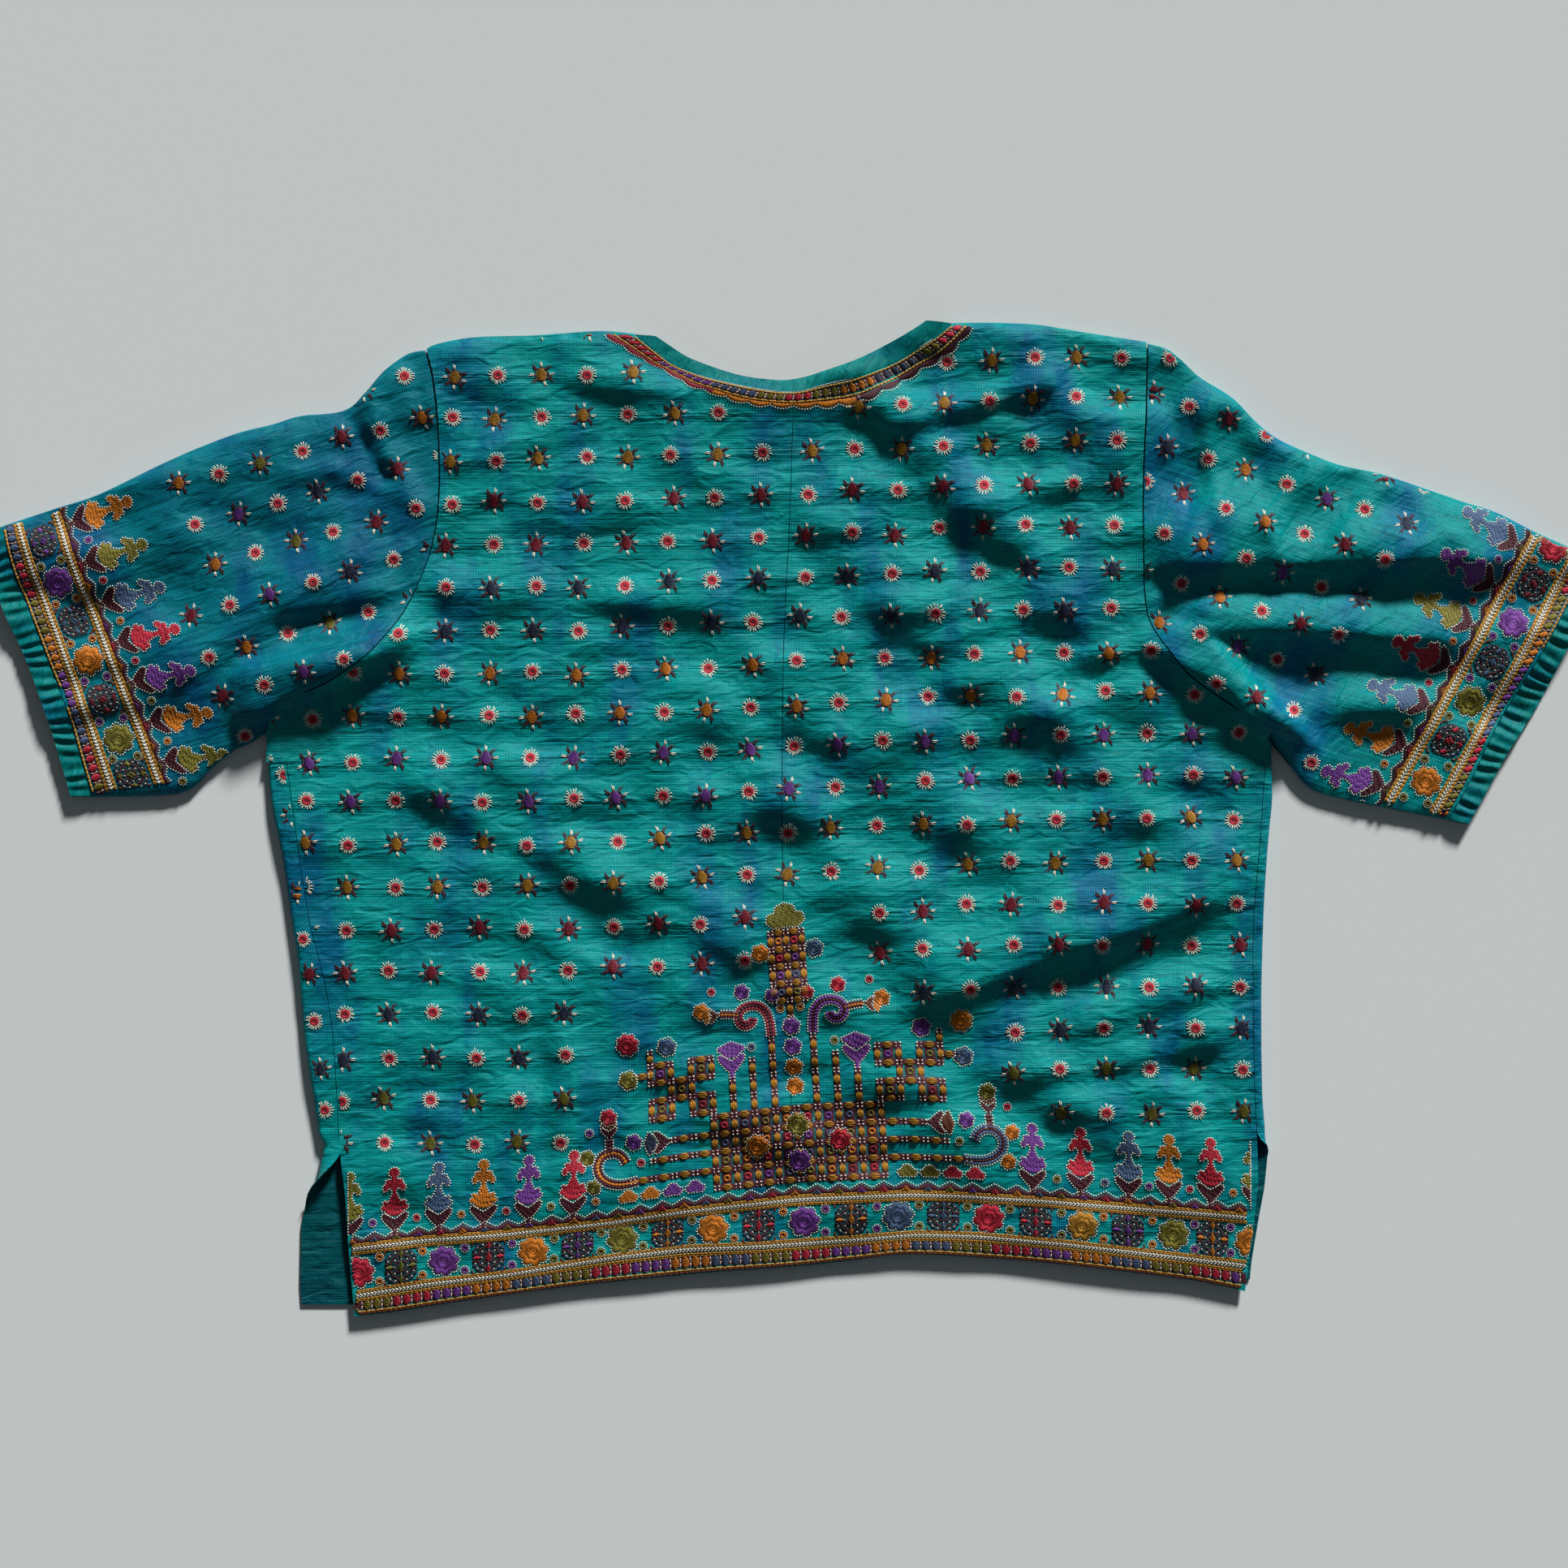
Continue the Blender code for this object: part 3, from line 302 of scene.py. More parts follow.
def smooth_step(value):
    """0 below 0, 1 above 1 and an S between them."""
    value = np.clip(value, 0, 1)
    return value * value * (3 - 2 * value)


ROLLED_EDGES = [
    smooth_line(LEFT_SLEEVE_TOP, 26), smooth_line(RIGHT_SLEEVE_TOP, 26),
    smooth_line(LEFT_SLEEVE_FOOT, 14), smooth_line(RIGHT_SLEEVE_FOOT, 14),
    smooth_line(BACK_TOP_LEFT, 8), smooth_line(BACK_TOP_RIGHT, 8), smooth_line(NECK_EDGE, 20),
    np.array([(-286.5, 46), (-285.6, 36)]), np.array([(258.5, 43.5), (258.6, 34)]),
]


def worked_lie(x, y):
    """Height of the upper ply's outer face above the table, from its creases and crumples."""
    rise = sum(crease(x, y, row) for row in MAIN_CREASES + SMALL_CREASES)
    widened = [(*row[:4], 2 * row[4], 1.0, 0.0) for row in MAIN_CREASES if row[5] > CALM_BESIDE]
    calm = 1 - CALM_SHARE * np.clip(sum(crease(x, y, row) for row in widened), 0, 1)
    calm = calm * (CALM_LEFT + (1 - CALM_LEFT) * smooth_step((x - CALM_LEFT_FROM) / CALM_LEFT_OVER))
    for length, angle, phase in CRUMPLES:
        turns = (x * np.cos(angle) + y * np.sin(angle)) / length
        rise = rise + calm * CRUMPLE_SLOPE * length * np.sin(2 * np.pi * turns + phase)
    side = np.where(x < 0, across_at(LEFT_SEAM, y), across_at(RIGHT_SEAM, y))
    inside = EDGE_SHARE + (1 - EDGE_SHARE) * smooth_step((np.abs(side) - np.abs(x)) / SIDE_FADE)
    on_sleeve = inside + (1 - inside) * smooth_step((y - SLEEVES_FROM) / SIDE_FADE)
    rise = rise * np.where(y < SLEEVES_FROM, inside, on_sleeve)
    by_hem = smooth_step((y - height_at(BACK_HEM, x)) / HEM_FADE)
    loft = HEM_LOFT + (LOFT - HEM_LOFT) * by_hem + rise * (EDGE_SHARE + (1 - EDGE_SHARE) * by_hem)
    loft = LEAST_LOFT + np.logaddexp(0, LEAST_SHARPNESS * (loft - LEAST_LOFT)) / LEAST_SHARPNESS
    reach = np.clip(distance_to(ROLLED_EDGES, x, y) / EDGE_ROLL, 0, 1)
    return EDGE_HEIGHT + (loft - EDGE_HEIGHT) * np.sqrt(1 - (1 - reach) ** 2)


# The lie is worked out once on a plan grid of this reach and pitch, and read off between its points
LIE_ACROSS = (-448, 449)
LIE_UP = (-276, 278)
LIE_PITCH = 1.25
lie_x = np.arange(*LIE_ACROSS, LIE_PITCH)
lie_y = np.arange(*LIE_UP, LIE_PITCH)
lie_grid = worked_lie(*np.meshgrid(lie_x, lie_y))


def read_between(grid, row, column, up, over):
    """The value between four neighbours of a grid, at shares up and over from the lowest left one."""
    lower = grid[row, column] * (1 - over) + grid[row, column + 1] * over
    upper = grid[row + 1, column] * (1 - over) + grid[row + 1, column + 1] * over
    return lower * (1 - up) + upper * up


def upper_ply(x, y):
    """Height of the upper ply's outer face at each plan point."""
    column = np.clip((np.asarray(x, float) - lie_x[0]) / LIE_PITCH, 0, len(lie_x) - 1.001)
    row = np.clip((np.asarray(y, float) - lie_y[0]) / LIE_PITCH, 0, len(lie_y) - 1.001)
    left, below = column.astype(int), row.astype(int)
    return read_between(lie_grid, below, left, row - below, column - left)


def to_metres(points):
    """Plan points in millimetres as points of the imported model's frame."""
    return (np.reshape(points, (-1, 3)) - PLAN_CENTRE) / 1000


def lay(plan, height):
    """Plan points and their heights as points in space."""
    plan = np.asarray(plan, float)
    return np.dstack([plan[..., 0], plan[..., 1], np.broadcast_to(height, plan.shape[:-1])])


def grid_faces(rows, columns, closed=False, skip=lambda row, column: False):
    """The quads of a grid of points, with its last column joined to its first if it is closed."""
    across = columns if closed else columns - 1
    return [(row * columns + column, row * columns + (column + 1) % columns,
             (row + 1) * columns + (column + 1) % columns, (row + 1) * columns + column)
            for row in range(rows - 1) for column in range(across) if not skip(row, column)]


SHARP_ANGLE = 0.9


def placed(name, data):
    """A new object of the scene."""
    made = bpy.data.objects.new(name, data)
    bpy.context.scene.collection.objects.link(made)
    return made


def cloth_wall(name, outer, inner, faces, material, wrong_side_and_shade=None):
    """A closed wall of cloth: its outer points, the inner point behind each, and the outer quads."""
    outer, inner = np.reshape(outer, (-1, 3)), np.reshape(inner, (-1, 3))
    behind = len(outer)
    shell = list(faces) + [tuple(point + behind for point in reversed(face)) for face in faces]
    sides = {(start, end) for face in faces for start, end in zip(face, face[1:] + face[:1])}
    shell += [(end, start, start + behind, end + behind) for start, end in sorted(sides)
              if (end, start) not in sides]
    used = np.unique(np.concatenate([np.array(face) for face in shell]))
    place = {point: index for index, point in enumerate(used.tolist())}
    mesh = bpy.data.meshes.new(name)
    mesh.from_pydata(to_metres(np.vstack([outer, inner])[used]).tolist(), [],
                     [tuple(place[point] for point in face) for face in shell])
    mesh.materials.append(material)
    if wrong_side_and_shade:
        mesh.materials.append(wrong_side_and_shade)
        mesh.polygons.foreach_set("material_index", (np.arange(len(shell)) >= len(faces)).astype(int))
    mesh.shade_smooth()
    mesh.set_sharp_from_angle(angle=SHARP_ANGLE)
    return placed(name, mesh)


def declare_cloth(piece, node, rests_on, flat, area):
    """Hides the solid that a piece of cloth stands for and hangs the piece under the root; what carries it,
    its flat cut size and its area are not used.
    """
    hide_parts(node)
    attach(piece, "root")


UNDERARM_GAP = 0.8
UNDERARM_JOG = 8


def side_heights(slit, seam, armhole):
    """The heights of the rows on one side of the body, the same count on either side."""
    armhole_shares = np.linspace(0, 1, ARMHOLE_ROWS)
    return np.concatenate([
        np.linspace(slit[0][1], seam[0][1], SLIT_ROWS + 1)[:-1],
        np.linspace(seam[0][1], seam[-1][1], SIDE_ROWS + 1),
        np.linspace(seam[-1][1] + UNDERARM_GAP, armhole[0][1], UNDERARM_ROWS + 1)[:-1],
        armhole[0][1] + (armhole[-1][1] - armhole[0][1]) * armhole_shares,
    ])


def side_line(slit, seam, armhole, silhouette, heights):
    """The plan points of a back half's outer side at the given heights."""
    jog_x = across_at([silhouette[-1], armhole[0]], armhole[0][1] - UNDERARM_JOG)
    on_slit, on_seam, on_armhole = [at_heights(part, heights)[:, 0] for part in (slit, seam, armhole)]
    x = np.select([heights < seam[0][1], heights <= seam[-1][1], heights < armhole[0][1]],
                  [on_slit, on_seam, np.full(len(heights), jog_x)], on_armhole)
    return np.column_stack([x, heights])


def body_grid(left, right, shares, bottom_of, top_of):
    """Rows of plan points between two sides, bent so that the first and last rows follow two curves."""
    heights = 0.5 * (left[:, 1] + right[:, 1])
    up = ((heights - heights[0]) / (heights[-1] - heights[0]))[:, None]
    x = left[:, :1] + (right[:, :1] - left[:, :1]) * shares
    y = left[:, 1:] + (right[:, 1:] - left[:, 1:]) * shares
    return np.dstack([x, y + (1 - up) * (bottom_of(x[0]) - y[0]) + up * (top_of(x[-1]) - y[-1])])


def curve_height(*lines):
    """A function from x to y along curves that run left to right."""
    fine = np.vstack([smooth_line(line, 80) for line in lines])
    return lambda x: np.interp(x, fine[:, 0], fine[:, 1])


LEFT_HEIGHTS = side_heights(LEFT_SLIT, LEFT_SEAM, LEFT_ARMHOLE)
RIGHT_HEIGHTS = side_heights(RIGHT_SLIT, RIGHT_SEAM, RIGHT_ARMHOLE)
ROWS = len(LEFT_HEIGHTS)
WRAP_TOP_ROW = SLIT_ROWS + SIDE_ROWS
ARMHOLE_START = WRAP_TOP_ROW + 1 + UNDERARM_ROWS


def centre_line(shift):
    """The centre back seam at the rows' mean heights, moved sideways by half the seam's gap."""
    mean = 0.5 * (LEFT_HEIGHTS + RIGHT_HEIGHTS)
    share = (mean - mean[0]) / (mean[-1] - mean[0])
    bottom, top = CENTRE_SEAM[0][1], CENTRE_SEAM[-1][1]
    return at_heights(CENTRE_SEAM, bottom + share * (top - bottom)) + (shift, 0)


def linear(sheet_colour):
    """An sRGB hex colour as linear red, green, blue and alpha."""
    parts = [int(sheet_colour[at:at + 2], 16) / 255 for at in (1, 3, 5)]
    return [part / 12.92 if part <= 0.04045 else ((part + 0.055) / 1.055) ** 2.4 for part in parts] + [1.0]


def new_material(name, finish):
    """A material with these values on its shader's own sockets, with its node tree and its shader."""
    made = bpy.data.materials.new(name)
    made.use_nodes = True
    shader = made.node_tree.nodes["Principled BSDF"]
    for socket, value in finish.items():
        shader.inputs[socket].default_value = value
    return made, made.node_tree, shader


def add_node(tree, kind, values=(), **settings):
    """One shader node with its settings, its plain values and its links."""
    made = tree.nodes.new(kind)
    for setting, value in settings.items():
        setattr(made, setting, value)
    for socket, value in dict(values).items():
        if isinstance(value, bpy.types.NodeSocket):
            tree.links.new(value, made.inputs[socket])
        else:
            made.inputs[socket].default_value = value
    return made


# Shot silk, hand loomed with blue and green threads, so its teal turns greener or bluer in broad patches.
# The slubbed weft gives the eye long thin streaks, and the weave a fine grain under a soft sheen.
# The real thread is about 0.15 mm. The weave is drawn at 0.9 mm, the finest that shows in the render.
WEAVE_MM = 0.9
WAVE_TURN = 0.314
PER_METRE = (1000, 1000, 1000)
# Each pattern's way, its turns for each millimetre along and across the thread and up, detail, roughness and
# distortion: the shot patches, the slubs, the streaks, the crinkles and the cloth that tight stitches pull up
SILK_PATTERNS = {
    "patches": ("thread", (0.03, 0.0105, 0.02), 4.0, 0.6, 0.0),
    "slubs": ("thread", (0.011, 0.62, 0.3), 3.0, 0.5, 0.0),
    "streaks": ("thread", (0.07, 0.42, 0.3), 5.0, 0.66, 0.0),
    "crinkles": ("crinkle", (0.062, 0.14, 0.1), 2.0, 0.42, 0.7),
    "pulled": ("thread", (0.035, 0.72, 0.3), 2.0, 0.5, 0.0),
}
SILK_FINISH = {"Roughness": 0.45, "IOR": 1.5, "Specular IOR Level": 0.12, "Sheen Weight": 0.02,
               "Sheen Roughness": 0.4, "Sheen Tint": linear("#10c0c0")}


def shot_silk(name, grain_degrees, crinkle_degrees, deep, bright, blue):
    """The silk of one panel, whose weft and whose fine crinkles run at these angles to +X."""
    made, tree, shader = new_material(name, SILK_FINISH)
    place = add_node(tree, "ShaderNodeTexCoord").outputs["Object"]
    ways = {}
    for way, degrees in (("thread", grain_degrees), ("crinkle", crinkle_degrees)):
        turn = (0, 0, -np.radians(degrees))
        ways[way] = add_node(tree, "ShaderNodeMapping",
                             {"Vector": place, "Scale": PER_METRE, "Rotation": turn}).outputs[0]
    patterns = {}
    for pattern, (way, scale, detail, roughness, distortion) in SILK_PATTERNS.items():
        stretched = add_node(tree, "ShaderNodeMapping", {"Vector": ways[way], "Scale": scale}).outputs[0]
        patterns[pattern] = add_node(tree, "ShaderNodeTexNoise", {
            "Vector": stretched, "Scale": 1.0, "Detail": detail, "Roughness": roughness,
            "Distortion": distortion}).outputs["Fac"]
    by_motifs = add_node(tree, "ShaderNodeAttribute", attribute_name="stitch_pull").outputs["Fac"]
    pull_lines = add_node(tree, "ShaderNodeMath", {0: patterns["pulled"], 1: by_motifs},
                          operation="MULTIPLY").outputs[0]
    weft, warp = [
        add_node(tree, "ShaderNodeTexWave", {
            "Vector": ways["thread"], "Scale": WAVE_TURN / WEAVE_MM, "Distortion": 2.6, "Detail": 2.0,
            "Detail Scale": 1.3}, bands_direction=across).outputs["Fac"]
        for across in ("Y", "X")
    ]
    threads = add_node(tree, "ShaderNodeMath", {0: weft, 1: warp}, operation="ADD").outputs[0]
    # The dark and light ends of each tone, and the deeper colour between the streaks
    threads_tone, streaks_tone, slubs_tone, deepened = [
        add_node(tree, "ShaderNodeMapRange", {
            "Value": value, "From Min": low, "From Max": high, "To Min": dark, "To Max": light}).outputs[0]
        for value, low, high, dark, light in (
            (threads, 0.3, 1.7, 0.72, 1.24),
            (patterns["streaks"], 0.35, 0.65, 0.95, 1.04),
            (patterns["slubs"], 0.34, 0.39, 0.76, 1.0),
            (patterns["streaks"], 0.3, 0.7, 0.28, 0.0),
        )
    ]
    tone = threads_tone
    for other in (streaks_tone, slubs_tone):
        tone = add_node(tree, "ShaderNodeMath", {0: tone, 1: other}, operation="MULTIPLY").outputs[0]
    shot = add_node(tree, "ShaderNodeValToRGB", {"Fac": patterns["patches"]})
    for stop, position, colour in zip(shot.color_ramp.elements, (0.34, 0.52), (blue, bright)):
        stop.position, stop.color = position, linear(colour)
    # A Mix node keeps its colours in sockets 6 and 7, which have the same names as its other ones
    mixed = add_node(tree, "ShaderNodeMix", {0: deepened, 6: shot.outputs[0], 7: linear(deep)},
                     data_type="RGBA")
    shaded = add_node(tree, "ShaderNodeVectorMath", {0: mixed.outputs[2], "Scale": tone}, operation="SCALE")
    tree.links.new(shaded.outputs[0], shader.inputs["Base Color"])
    normal = add_node(tree, "ShaderNodeBump", {"Height": threads, "Strength": 0.5, "Distance": 0.00016})
    for height, depth in ((patterns["streaks"], 0.00008), (patterns["slubs"], 0.0004), (pull_lines, 0.0022),
                          (patterns["crinkles"], 0.0021)):
        normal = add_node(tree, "ShaderNodeBump", {
            "Height": height, "Strength": 1.0, "Distance": depth, "Normal": normal.outputs[0]})
    tree.links.new(normal.outputs[0], shader.inputs["Normal"])
    return made


body_silk = shot_silk("teal_shot_silk_body", 0, 9, "#00454d", "#009b9a", "#006b90")

# How the cloth's outer face, and then its inner one, rolls down along the shoulders from its last row
NECK_HALF = 86
SHOULDER_ROLL = [((0, 0.7, -1.1), (0, 0.9, 0.35)), ((0, -0.1, -0.8), (0, 0.1, 0.35))]


def back_half(name, side, centre, neck_x, top):
    """One half of the back, from its side seam to the centre seam, rolled down along the shoulder."""
    on_left = side[0, 0] < 0
    left, right = (side, centre) if on_left else (centre, side)
    shares = np.linspace(0, 1, BACK_COLUMNS)
    neck_share = (neck_x - left[-1, 0]) / (right[-1, 0] - left[-1, 0])
    neck_column = int(np.argmin(np.abs(shares - neck_share)))
    shares[neck_column] = neck_share
    plan = body_grid(left, right, shares, curve_height(BACK_HEM), top)
    outer = lay(plan, upper_ply(plan[..., 0], plan[..., 1]))
    outer, inner = [np.concatenate([face, face[-1:] + over, face[-1:] * (1, 1, 0) + down])
                    for face, (over, down) in zip((outer, outer - (0, 0, CLOTH)), SHOULDER_ROLL)]
    rows, columns = outer.shape[:2]
    faces = grid_faces(rows, columns,
                       skip=lambda row, column: row >= rows - 3 and (column < neck_column) != on_left)
    return cloth_wall(name, outer, inner, faces, body_silk), plan


left_side = side_line(LEFT_SLIT, LEFT_SEAM, LEFT_ARMHOLE, LEFT_SILHOUETTE, LEFT_HEIGHTS) + (SEAM, 0)
right_side = side_line(RIGHT_SLIT, RIGHT_SEAM, RIGHT_ARMHOLE, RIGHT_SILHOUETTE, RIGHT_HEIGHTS) - (SEAM, 0)
back_left, left_plan = back_half("back_panel_left", left_side, centre_line(-SEAM / 2), -NECK_HALF,
                                 curve_height(BACK_TOP_LEFT, BACK_NECK))
back_right, right_plan = back_half("back_panel_right", right_side, centre_line(SEAM / 2), NECK_HALF,
                                   curve_height(BACK_NECK, BACK_TOP_RIGHT))
declare_cloth(back_left, "back_left", "front_panel", (0.289, 0.534), 0.122)
declare_cloth(back_right, "back_right", "front_panel", (0.265, 0.525), 0.120)

# Front of the blouse: one panel of the same silk, flat on the table under the back.
# Its side edges roll up over the back to the side seams, and lie open beside the slits at the hem,
# where the plain inside of the cloth shows.

FRONT_SIDE_COLUMNS = 16
NECK_COLUMNS = 36
FRONT_HEM_RISE = 6.0
LEFT_FRONT_SLIT = [(-266.4, -266), (-267.4, -253), (-266.8, -220), (-263.4, -203.5), (-259.6, -187),
                   (-256.8, -172)]
RIGHT_FRONT_SLIT = [(246, -262), (248, -240), (252, -216), (255, -200), (256.6, -184), (256.4, -166)]
FRONT_NECK = [(-86, 262.2), (-80, 234), (-66, 196), (-45, 166), (-20, 148), (0, 143), (20, 148), (45, 167),
              (66, 198), (80, 236), (86, 268)]
FRONT_NECK_EDGE = [(-77, 262.2), (-71.5, 236), (-58, 202), (-39, 174), (-17, 157), (0, 152), (17, 157),
                   (39, 175), (58, 204), (71.5, 238), (77, 268)]
FLAP_ARCS = 8
FLAP_TURNS = np.radians([11, 34, 56, 79, 101, 124, 146, 169, 180, 180, 180])
LEAST_FLAP = 0.6
UNDERARM_INSET = 0.4


def raised_hem(heights, slit_top):
    """The rows of the front, whose hem sits a little higher than the back's."""
    raised = np.linspace(heights[0] + FRONT_HEM_RISE, slit_top, SLIT_ROWS + 1)[:-1]
    return np.concatenate([raised, heights[SLIT_ROWS:]])


def side_flap(seam, silhouette, base, height, unfolded, edge_x):
    """The front's edge rolled over the side, from the table round to the seam."""
    outward = np.sign(base)
    seam_x = at_heights(seam, [height])[0][0]
    roll = 0.5 * float(upper_ply(seam_x, height))
    flat = max(abs(at_heights(silhouette, [height])[0][0] - seam_x) - roll, LEAST_FLAP)
    chord = 2 * roll * np.sin(np.pi / (2 * FLAP_ARCS))
    flat_steps = len(FLAP_TURNS) - FLAP_ARCS
    lengths = np.array([chord] * FLAP_ARCS + [flat / flat_steps] * flat_steps)
    stretch = (1 - unfolded) + unfolded * abs(edge_x - base) / lengths.sum()
    turns, lengths = FLAP_TURNS * (1 - unfolded), lengths * stretch
    steps = np.column_stack([outward * np.cos(turns), np.sin(turns)]) * lengths[:, None]
    path = np.vstack([(0, 0), np.cumsum(steps, axis=0)])
    before = np.concatenate([[0], turns])
    after = np.concatenate([turns, turns[-1:]])
    mean, half = (before + after) / 2, (after - before) / 2
    inward = np.column_stack([-outward * np.sin(mean), np.cos(mean)]) / np.cos(half)[:, None]
    behind = path + CLOTH * inward
    return path + (base, 0), behind + (base, 0)


def unfolding(row, rows_to_open):
    """0 where the side flap is rolled over the back, 1 where it lies open in the slit."""
    return float(smooth_step((SLIT_ROWS - 1.0 - row) / rows_to_open)) if row < SLIT_ROWS else 0.0


front_sides = {
    -1: dict(seam=LEFT_SEAM, silhouette=LEFT_SILHOUETTE, slit=LEFT_FRONT_SLIT, armhole=LEFT_ARMHOLE,
             heights=raised_hem(LEFT_HEIGHTS, LEFT_SEAM[0][1]), rolled_width=6.0, rows_to_open=10.0),
    1: dict(seam=RIGHT_SEAM, silhouette=RIGHT_SILHOUETTE, slit=RIGHT_FRONT_SLIT, armhole=RIGHT_ARMHOLE,
            heights=raised_hem(RIGHT_HEIGHTS, RIGHT_SEAM[0][1]), rolled_width=3.0, rows_to_open=4.0),
}
for outward, side in front_sides.items():
    base, edge = np.empty(ROWS), np.empty(ROWS)
    for row, height in enumerate(side["heights"]):
        seam, silhouette, armhole = side["seam"], side["silhouette"], side["armhole"]
        if row <= WRAP_TOP_ROW:
            wrapped = at_heights(silhouette, [max(height, silhouette[0][1])])[0][0]
            roll = 0.5 * float(upper_ply(at_heights(seam, [max(height, seam[0][1])])[0][0], height))
            base[row] = wrapped - outward * roll
            edge[row] = across_at(side["slit"], height)
            if row < SLIT_ROWS:
                base[row] = min(abs(base[row]), abs(edge[row]) - side["rolled_width"]) * outward
        elif row < ARMHOLE_START:
            jog = at_heights([silhouette[-1], armhole[0]], [height])[0][0]
            base[row] = edge[row] = jog - outward * UNDERARM_INSET
        else:
            base[row] = edge[row] = at_heights(armhole, [height])[0][0] - outward * 0.5 * SEAM
    side["base"], side["edge"] = base, edge

front_left = np.column_stack([front_sides[-1]["base"], front_sides[-1]["heights"]])
front_right = np.column_stack([front_sides[1]["base"], front_sides[1]["heights"]])
neck_from, neck_to = [(x - front_left[-1, 0]) / (front_right[-1, 0] - front_left[-1, 0])
                      for x in (-NECK_HALF, NECK_HALF)]
front_shares = np.concatenate([np.linspace(0, neck_from, FRONT_SIDE_COLUMNS + 1)[:-1],
                               np.linspace(neck_from, neck_to, NECK_COLUMNS + 1),
                               np.linspace(neck_to, 1, FRONT_SIDE_COLUMNS + 1)[1:]])
front_hem = curve_height(BACK_HEM)
front_plan = body_grid(front_left, front_right, front_shares, lambda x: front_hem(x) + FRONT_HEM_RISE,
                       curve_height(BACK_TOP_LEFT, FRONT_NECK, BACK_TOP_RIGHT))
flap_columns = []
for outward, side in front_sides.items():
    edge_plan = front_plan[:, 0 if outward < 0 else -1]
    points = np.zeros((2, ROWS, len(FLAP_TURNS), 3))
    points[..., 1] = edge_plan[None, :, None, 1]
    points[..., 0] = edge_plan[None, :, None, 0]
    for row in range(WRAP_TOP_ROW + 1):
        faces = side_flap(side["seam"], side["silhouette"], side["base"][row],
                          max(side["heights"][row], side["seam"][0][1]),
                          unfolding(row, side["rows_to_open"]), side["edge"][row])
        for face in (0, 1):
            points[face, row, :, 0] = faces[face][1:, 0]
            points[face, row, :, 2] = faces[face][1:, 1]
    flap_columns.append(points[:, :, ::-1] if outward < 0 else points)
front_outer = np.concatenate([flap_columns[0][0], lay(front_plan, 0.0), flap_columns[1][0]], axis=1)
front_inner = np.concatenate([flap_columns[0][1], lay(front_plan, CLOTH), flap_columns[1][1]], axis=1)
front_across = front_outer.shape[1]
# The cloth's inner faces take a darker, duller silk, which shows in the open flaps beside the slits. It is
# partly the silk's own wrong side and partly painted shade, darkened for the back's shadow that falls on the
# left flap.
front_panel = cloth_wall(
    "front_panel", front_outer, front_inner,
    grid_faces(ROWS, front_across, skip=lambda row, column: row >= WRAP_TOP_ROW and (
        column < len(FLAP_TURNS) or column >= front_across - len(FLAP_TURNS) - 1)), body_silk,
    shot_silk("teal_silk_wrong_side", 0, 9, "#003037", "#005860", "#00425c"))
front_neck_line = front_plan[-1, FRONT_SIDE_COLUMNS:FRONT_SIDE_COLUMNS + NECK_COLUMNS + 1]
declare_cloth(front_panel, "front", "table_top", (0.57, 0.531), 0.230)

# Sleeves: each is one panel of the silk sewn to a tube and set into the armhole, and lies flattened.
# Its grain follows the arm, so the shot colour and the slubs run at an angle to the body's.

SLEEVE_RINGS = 80
RELAXING_PASSES = 60
# The flattened tube: how far its outer and inner faces are drawn in from its folds, how high the folds are,
# and the least space left between its plies
OUTER_DRAW = 0.7
INNER_DRAW = 1.2
FOLD_HEIGHT = 1.5
LEAST_HOLLOW = 0.4
LEFT_CUFF_LINE = [(-379.4, 12), (-386.5, 36.5), (-393.4, 61), (-403.5, 87), (-414, 114), (-422, 134),
                  (-428.3, 158.9)]
RIGHT_CUFF_LINE = [(354, -0.4), (366.7, 22.7), (377.5, 45.6), (389.6, 66), (405.7, 93), (419.8, 119),
                   (431, 141.6)]


def moved_along_normal(line, distance):
    """A line shifted sideways by a distance, to its left seen from start to end."""
    tangent = np.gradient(np.asarray(line, float), axis=0)
    tangent /= np.linalg.norm(tangent, axis=1)[:, None]
    return line + distance * np.column_stack([-tangent[:, 1], tangent[:, 0]])


def sleeve_plan(armhole, cuff, foot, top, rings):
    """Plan points of a sleeve: rings from the armhole to the cuff, each from foot to top."""
    run = run_along(armhole)
    across = (run / run[-1])[None, :, None]
    cuff = spread(cuff, run / run[-1])
    along = np.linspace(0, 1, rings)[:, None, None]
    foot, top = spread(foot, along.ravel())[:, None], spread(top, along.ravel())[:, None]
    foot = foot + (1 - along) * (armhole[0] - foot[0])
    top = top + (1 - along) * (armhole[-1] - top[0])
    ruled = (1 - along) * armhole + along * cuff + (1 - across) * foot + across * top
    corners = ((1 - along) * ((1 - across) * armhole[0] + across * armhole[-1])
               + along * ((1 - across) * cuff[0] + across * cuff[-1]))
    plan = ruled - corners
    for _ in range(RELAXING_PASSES):
        plan[1:-1, 1:-1] = (plan[:-2, 1:-1] + plan[2:, 1:-1] + plan[1:-1, :-2] + plan[1:-1, 2:]) / 4
    return plan


